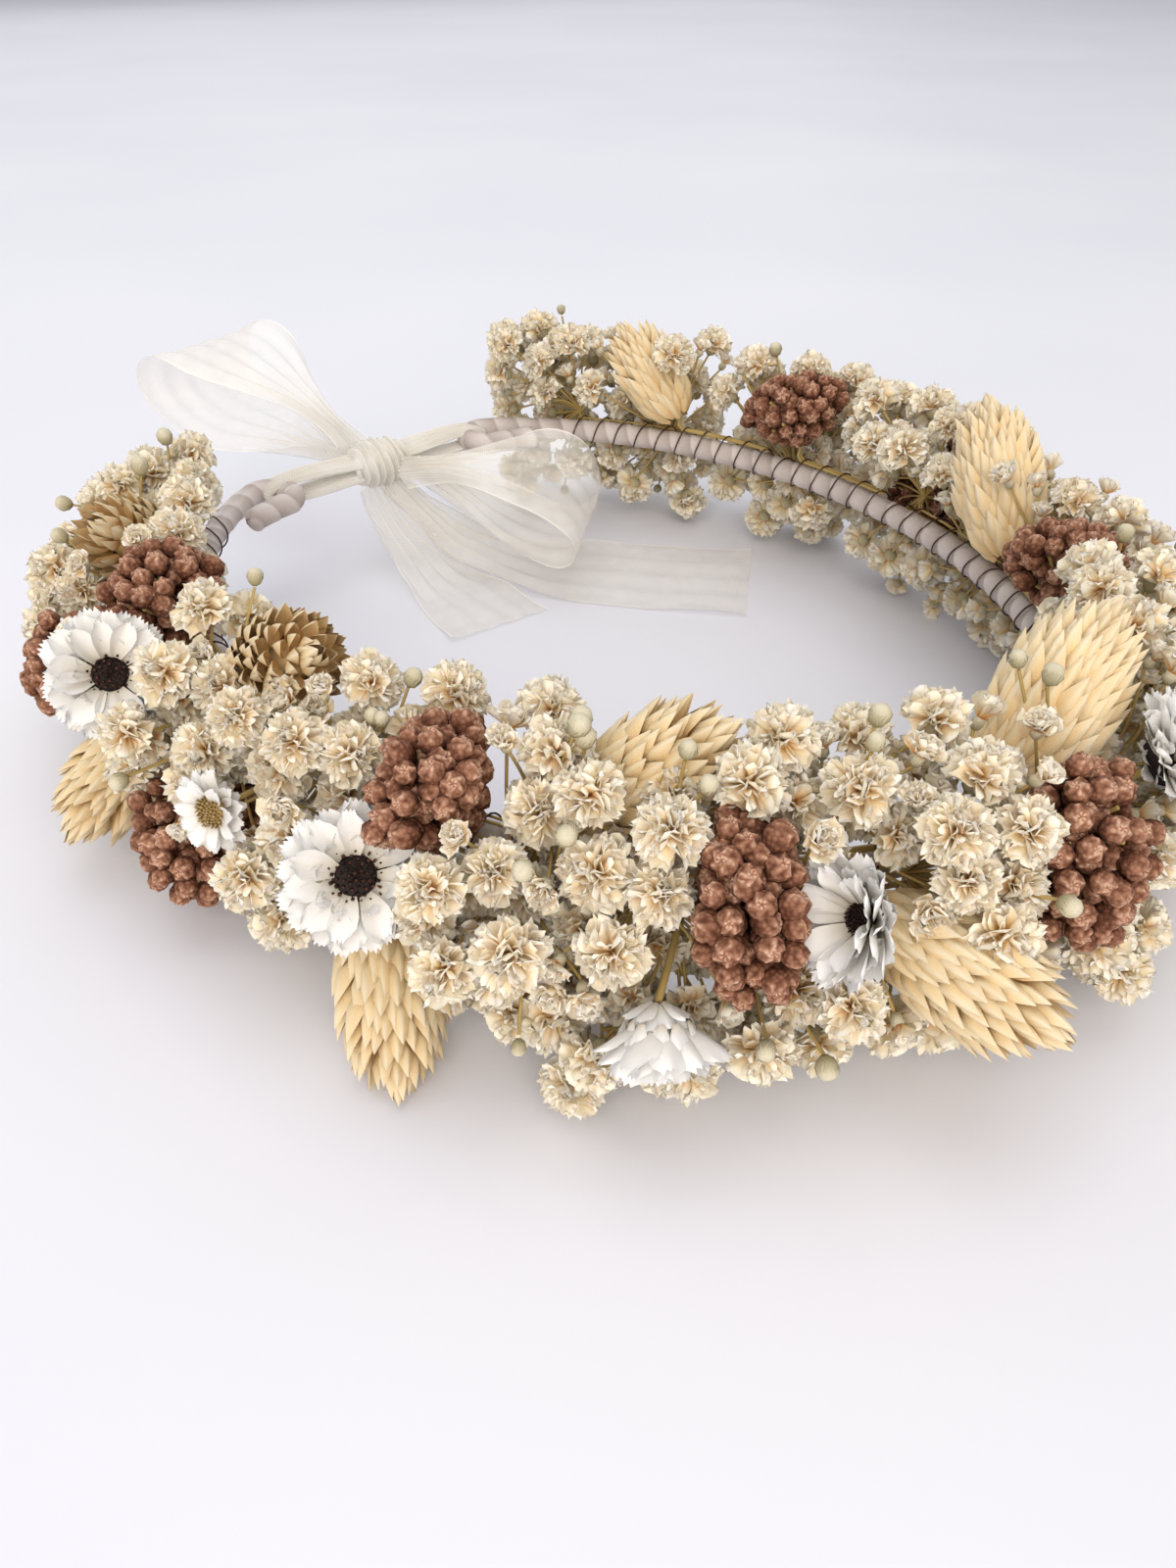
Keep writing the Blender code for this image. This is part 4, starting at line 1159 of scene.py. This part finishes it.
# wound round tape and stems: it stands off farther where it passes over a stem
def windBinding():
    start = hoop["eyeletLength"] + binding["inset"]
    turns = int((arcTotal - 2 * start) / binding["pitch"])
    stems = [(flower["cut"] % (2 * math.pi), flower["leaves"] - flower["cut"], flower["lane"])
             for flower in flowers.values()]
    radii, spots = [], []
    for i in range(turns * binding["steps"] + 1):
        section = 2 * math.pi * i / binding["steps"]
        angle = turnAt(start + binding["pitch"] * i / binding["steps"])
        over = 0.0
        for cut, span, lane in stems:
            if (angle % (2 * math.pi) - cut) % (2 * math.pi) < span:
                apart = abs((section - lane + math.pi) % (2 * math.pi) - math.pi)
                over = max(over, 1 - apart / math.radians(40))
        over = min(1.0, max(0.0, over) * 1.6)
        radii.append(binding["overTape"] + (binding["overStems"] - binding["overTape"]) * over)
        spots.append((angle, section))
    radii = np.convolve(np.pad(radii, 2, mode="edge"), np.ones(5) / 5, mode="valid").tolist()
    line = [roundHoop(angle, section, radius) for (angle, section), radius in zip(spots, radii)]
    mesh = bpy.data.meshes.new("binding_line")
    mesh.from_pydata([tuple(p) for p in line], [(i, i + 1) for i in range(len(line) - 1)], [])
    obj = inScene("binding_turns", mesh)
    growWith(obj, wireTree(), {"Wire radius": binding["radius"], "Finish": materials["brownEnamelledWire"]})
    makePlain([obj])
    obj.data.polygons.foreach_set("use_smooth", [True] * len(obj.data.polygons))
    standFor(obj, "binding_wire", "crown")


wrapTape()
windBinding()
frame["nodes"]["hoop_wire"].material_slots[0].material = materials["drawnSteelWire"]
print("hoop wound")


knotLow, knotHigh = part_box("ribbon_knot")
knot = {
    "middle": (knotLow + knotHigh) / 2,
    "radius": (knotHigh.z - knotLow.z) / 2,
    "half": (knotHigh.x - knotLow.x) / 2,
    "turns": 1.15,             # of the strip round the others
    "rows": 64, "columns": 97,
}
ribbon = {"width": 36 * mm, "loopColumns": 41, "tailColumns": 37, "tieColumns": 85}


# a strip of cloth: rows of points across it along its middle line, with edge tone and a map in millimetres
def clothStrip(name, node, rows, line, finish, body):
    columns = len(rows[0])
    lengths = lineLengths(line)
    points, tones, flats = [], [], []
    for row, length in zip(rows, lengths):
        for c, point in enumerate(row):
            share = c / (columns - 1)
            points.append(point)
            tones.append(organza["edge"] * max(0.0, 1 - min(share, 1 - share) / organza["edgeShare"]))
            flats.append((share * ribbon["width"] / mm, length / mm))
    obj = inScene(name, newMesh(name, points, gridFaces(len(rows), columns), tones, flats, finish))
    standFor(obj, node, body)
    return obj


# the way a strip's face looks at each point of its line
def faceWays(line, acrosses):
    return [runAt(line, i).cross(across).normalized() for i, across in enumerate(acrosses)]


# rows across a ribbon: its middle line, the way across and the way out of its face, its shown width and pleats
def ribbonRows(line, across, outOf, shown, pleatDepth, pleats, edgeWave, columns, phase=0.0):
    rows = []
    for i, point in enumerate(line):
        row = []
        for c in range(columns):
            v = c / (columns - 1) - 0.5
            fold = pleatDepth[i] * math.sin(2 * math.pi * pleats * v + phase + 0.3 * math.sin(0.5 * i))
            wave = edgeWave * math.sin(0.33 * i + phase + 1.2 * v) * (2 * v) ** 3
            row.append(point + across[i] * shown[i] * v + outOf[i] * (fold + wave))
        rows.append(row)
    return rows


def lineLengths(line):
    return np.concatenate([[0.0], np.cumsum([(b - a).length for a, b in zip(line, line[1:])])]).tolist()


def smoothStep(x):
    x = min(1.0, max(0.0, x))
    return x * x * (3 - 2 * x)


# depth of pleats that makes a strip of shown width use up the real width
def pleatFor(shown, pleats):
    spare = max(0.0, (ribbon["width"] / shown) ** 2 - 1)
    return shown / (2 * math.pi * pleats) * math.sqrt(2 * spare) if spare else 0.0


# a loop of the bow: out from the knot and back, its faces standing apart
def makeLoop(name, node, root, end, size, twist, seed):
    rng = random.Random(seed)
    start = knot["middle"] + Vector(root)
    reach = knot["middle"] + Vector(end) - start
    direction = reach.normalized()
    side = Vector((1, 0, 0))
    across = (side - direction * direction.dot(side)).normalized()
    out = direction.cross(across)
    steps = 56
    line, acrosses, shown, depths = [], [], [], []
    for i in range(steps + 1):
        t = i / steps
        turn = 2 * math.pi * t
        along = 0.5 * (1 - math.cos(turn))
        apart = math.sin(turn) * (0.25 + 0.75 * along) * size["opening"] / 2
        point = start + reach * (0.03 + 0.97 * along ** 0.85) + out * apart + across * size["lean"] * (t - 0.5)
        point += up * size["sag"] * math.sin(math.pi * along)
        line.append(point)
        spread = 0.20 + 0.80 * smoothStep(along * 1.5)
        shown.append(ribbon["width"] * spread * size["width"])
        pleat = min(2.6 * mm, pleatFor(max(shown[-1], 9 * mm), 5))
        depths.append(pleat * (1 - smoothStep(along * 1.3)) + 0.35 * mm)
        acrosses.append(Quaternion(direction, twist * (t - 0.5)) @ across)
    rows = ribbonRows(line, acrosses, faceWays(line, acrosses), shown, depths, 5, size["wave"],
                      ribbon["loopColumns"], rng.uniform(0, 6))
    for row in rows:
        for point in row:
            point.z = max(point.z, 0.6 * mm)
    return clothStrip(name, node, rows, line, "sheerIvoryOrganza", "bow")


# a tail from the knot down to the table; a station is a place from the knot's middle and a share of the width
def makeTail(name, node, body, stations, seed):
    rng = random.Random(seed)
    raw = [knot["middle"] + Vector(p[:3]) for p in stations]
    line = smoothLine(raw, 10)
    count = len(line)
    shares = np.interp(np.linspace(0, len(raw) - 1, count), range(len(raw)), [p[3] for p in stations]).tolist()
    acrosses, depths, shown = [], [], []
    for i in range(count):
        run = runAt(line, i)
        acrosses.append(-Vector((run.y, -run.x, 0)).normalized())
        shown.append(ribbon["width"] * shares[i])
        pleat = min(2.2 * mm, pleatFor(max(shown[-1], 7 * mm), 4))
        depths.append(pleat * (1 - smoothStep((i / count - 0.15) * 1.6)) + 0.25 * mm)
    rows = ribbonRows(line, acrosses, faceWays(line, acrosses), shown, depths, 4, 0.8 * mm,
                      ribbon["tailColumns"], rng.uniform(0, 6))
    for row in rows:
        for point in row:
            point.z = max(point.z, 0.35 * mm)
    return clothStrip(name, node, rows, line, "sheerIvoryOrganza", body)


# from the knot, through the eyelet and back into the knot, pulled in to pass the turned wire
def makeTie(name, node, sign):
    low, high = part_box(node)
    half = knot["half"]
    reach = abs((low.x if sign < 0 else high.x) - knot["middle"].x) - half
    steps = 40
    line, shown = [], []
    for i in range(steps + 1):
        t = i / steps
        along = math.sin(math.pi * t) ** 0.8
        height = math.cos(math.pi * t) * (1.6 + 2.2 * math.sin(math.pi * t)) * mm
        line.append(knot["middle"] + Vector((sign * (half * 0.8 + (reach + half * 0.2) * along), 0, height)))
        shown.append((8.0 - 3.2 * smoothStep(along)) * mm)
    acrosses = [Vector((0, 1, 0))] * (steps + 1)
    rows = ribbonRows(line, acrosses, faceWays(line, acrosses), shown, [1.0 * mm] * (steps + 1), 7, 0.0,
                      ribbon["tieColumns"], 0.4 * sign)
    return clothStrip(name, node, rows, line, "gatheredIvoryOrganza", "crown")


# the knot: one turn of the ribbon pulled tight round the others, with creases running round it
def makeKnot():
    rows, line = [], []
    for i in range(knot["rows"] + 1):
        turn = 2 * math.pi * knot["turns"] * i / knot["rows"]
        spiral = 1 + 0.05 * i / knot["rows"]
        row = []
        for c in range(knot["columns"]):
            v = 2 * c / (knot["columns"] - 1) - 1
            body = (1 - 0.45 * abs(v) ** 2.6) * (1 + 0.05 * math.sin(3 * turn + 2 * v))
            crease = 0.15 * math.sin(24 * v + 1.2 * math.sin(turn + 1) + 0.5) + 0.05 * math.sin(37 * v + turn)
            radius = knot["radius"] * spiral * (body * 0.82 + crease)
            lean = 0.5 * mm * math.sin(turn * 2 + v)
            row.append(knot["middle"] + Vector((v * knot["half"] * 0.93 + lean, radius * math.cos(turn),
                                                radius * math.sin(turn))))
        rows.append(row)
        line.append(Vector((0, knot["radius"] * math.cos(turn), knot["radius"] * math.sin(turn))))
    return clothStrip("tied_knot", "ribbon_knot", rows, line, "gatheredIvoryOrganza", "bow")


makeKnot()
makeTie("eyelet_tie_left", "ribbon_tie_left", -1)
makeTie("eyelet_tie_right", "ribbon_tie_right", 1)
# of the loops: how far their faces stand apart, share of the width, sideways shift, droop and edge wave
leftSize = {"opening": 27 * mm, "width": 0.98, "lean": 5 * mm, "sag": 3 * mm, "wave": 2.2 * mm}
rightSize = {"opening": 27 * mm, "width": 0.90, "lean": 6 * mm, "sag": 1 * mm, "wave": 1.6 * mm}
makeLoop("bow_loop_left", "ribbon_loop_left", (-0.004, 0.0055, 0.001), (-0.018, 0.066, 0.012),
         leftSize, 0.35, 3)
makeLoop("bow_loop_right", "ribbon_loop_right", (0.004, -0.0055, 0.0), (0.034, -0.045, -0.009),
         rightSize, -0.3, 4)
makeTail("bow_tail_left", "ribbon_tail_left", "tail_left", [
    (-0.0030, -0.001, -0.0055, 0.20), (-0.003, -0.008, -0.013, 0.30), (-0.001, -0.017, -0.020, 0.45),
    (0.001, -0.026, -0.0252, 0.58), (0.001, -0.038, -0.0254, 0.70), (0.000, -0.052, -0.0254, 0.78)], 8)
makeTail("bow_tail_right", "ribbon_tail_right", "tail_right", [
    (0.0030, -0.001, -0.0055, 0.20), (0.009, -0.010, -0.015, 0.32), (0.016, -0.020, -0.021, 0.55),
    (0.029, -0.037, -0.0250, 0.90), (0.046, -0.056, -0.0254, 1.0), (0.063, -0.075, -0.0254, 1.0)], 9)
print("ribbon tied")


# table, light and camera
stage = {
    "tableHalf": 20.0,
    "world": ("#ebebee", 0.62),
    # name: place, size, power and colour; all look at the middle of the crown
    "panels": {"windowBehind": ((0.3, 1.0, 1.1), 2.6, 9.0, "#ffffff"),
               "frontFill": ((-0.9, -1.0, 0.7), 1.6, 20.0, "#fff4e6"),
               "topPanel": ((0.0, 0.0, 1.5), 1.2, 5.0, "#ffffff")},
    "lens": 27.1,
    "cameraPlace": (-0.1457, -0.1727, 0.1451),
    "cameraTurn": (math.radians(52.7), 0, math.radians(-39.6)),
}


# a pale laminate table with a hardly visible haze
def makeTable():
    mesh = bpy.data.meshes.new("table_top")
    half = stage["tableHalf"]
    corners = [(-half, -half, 0), (half, -half, 0), (half, half, 0), (-half, half, 0)]
    mesh.from_pydata(corners, [], [(0, 1, 2, 3)])
    material, tree, shader, place = newMaterial("whiteLaminate", 0.5, 0.4)
    haze = addNode(tree, "ShaderNodeTexNoise", Vector=place, Scale=4.0, Detail=2.0)
    finishSurface(tree, shader, haze.outputs["Fac"], [(0.3, "#e5e6ef"), (0.7, "#ebecf4")])
    mesh.materials.append(material)
    inScene("table_top", mesh)


def makeLight():
    world = bpy.data.worlds.new("studio")
    world.use_nodes = True
    background = world.node_tree.nodes["Background"]
    background.inputs["Color"].default_value = toLinear(stage["world"][0])
    background.inputs["Strength"].default_value = stage["world"][1]
    bpy.context.scene.world = world
    for name, (place, size, power, colour) in stage["panels"].items():
        lamp = bpy.data.lights.new(name, "AREA")
        lamp.size, lamp.energy, lamp.color = size, power, toLinear(colour)[:3]
        obj = inScene(name, lamp)
        obj.location = place
        obj.rotation_euler = (-Vector(place)).to_track_quat("-Z", "Y").to_euler()


def makeCamera():
    camera = bpy.data.cameras.new("view")
    camera.lens = stage["lens"]
    camera.clip_start = 0.01
    obj = inScene("view", camera)
    obj.location = stage["cameraPlace"]
    obj.rotation_euler = stage["cameraTurn"]
    bpy.context.scene.camera = obj


makeTable()
makeLight()
makeCamera()
bpy.context.scene.view_settings.view_transform = "Standard"
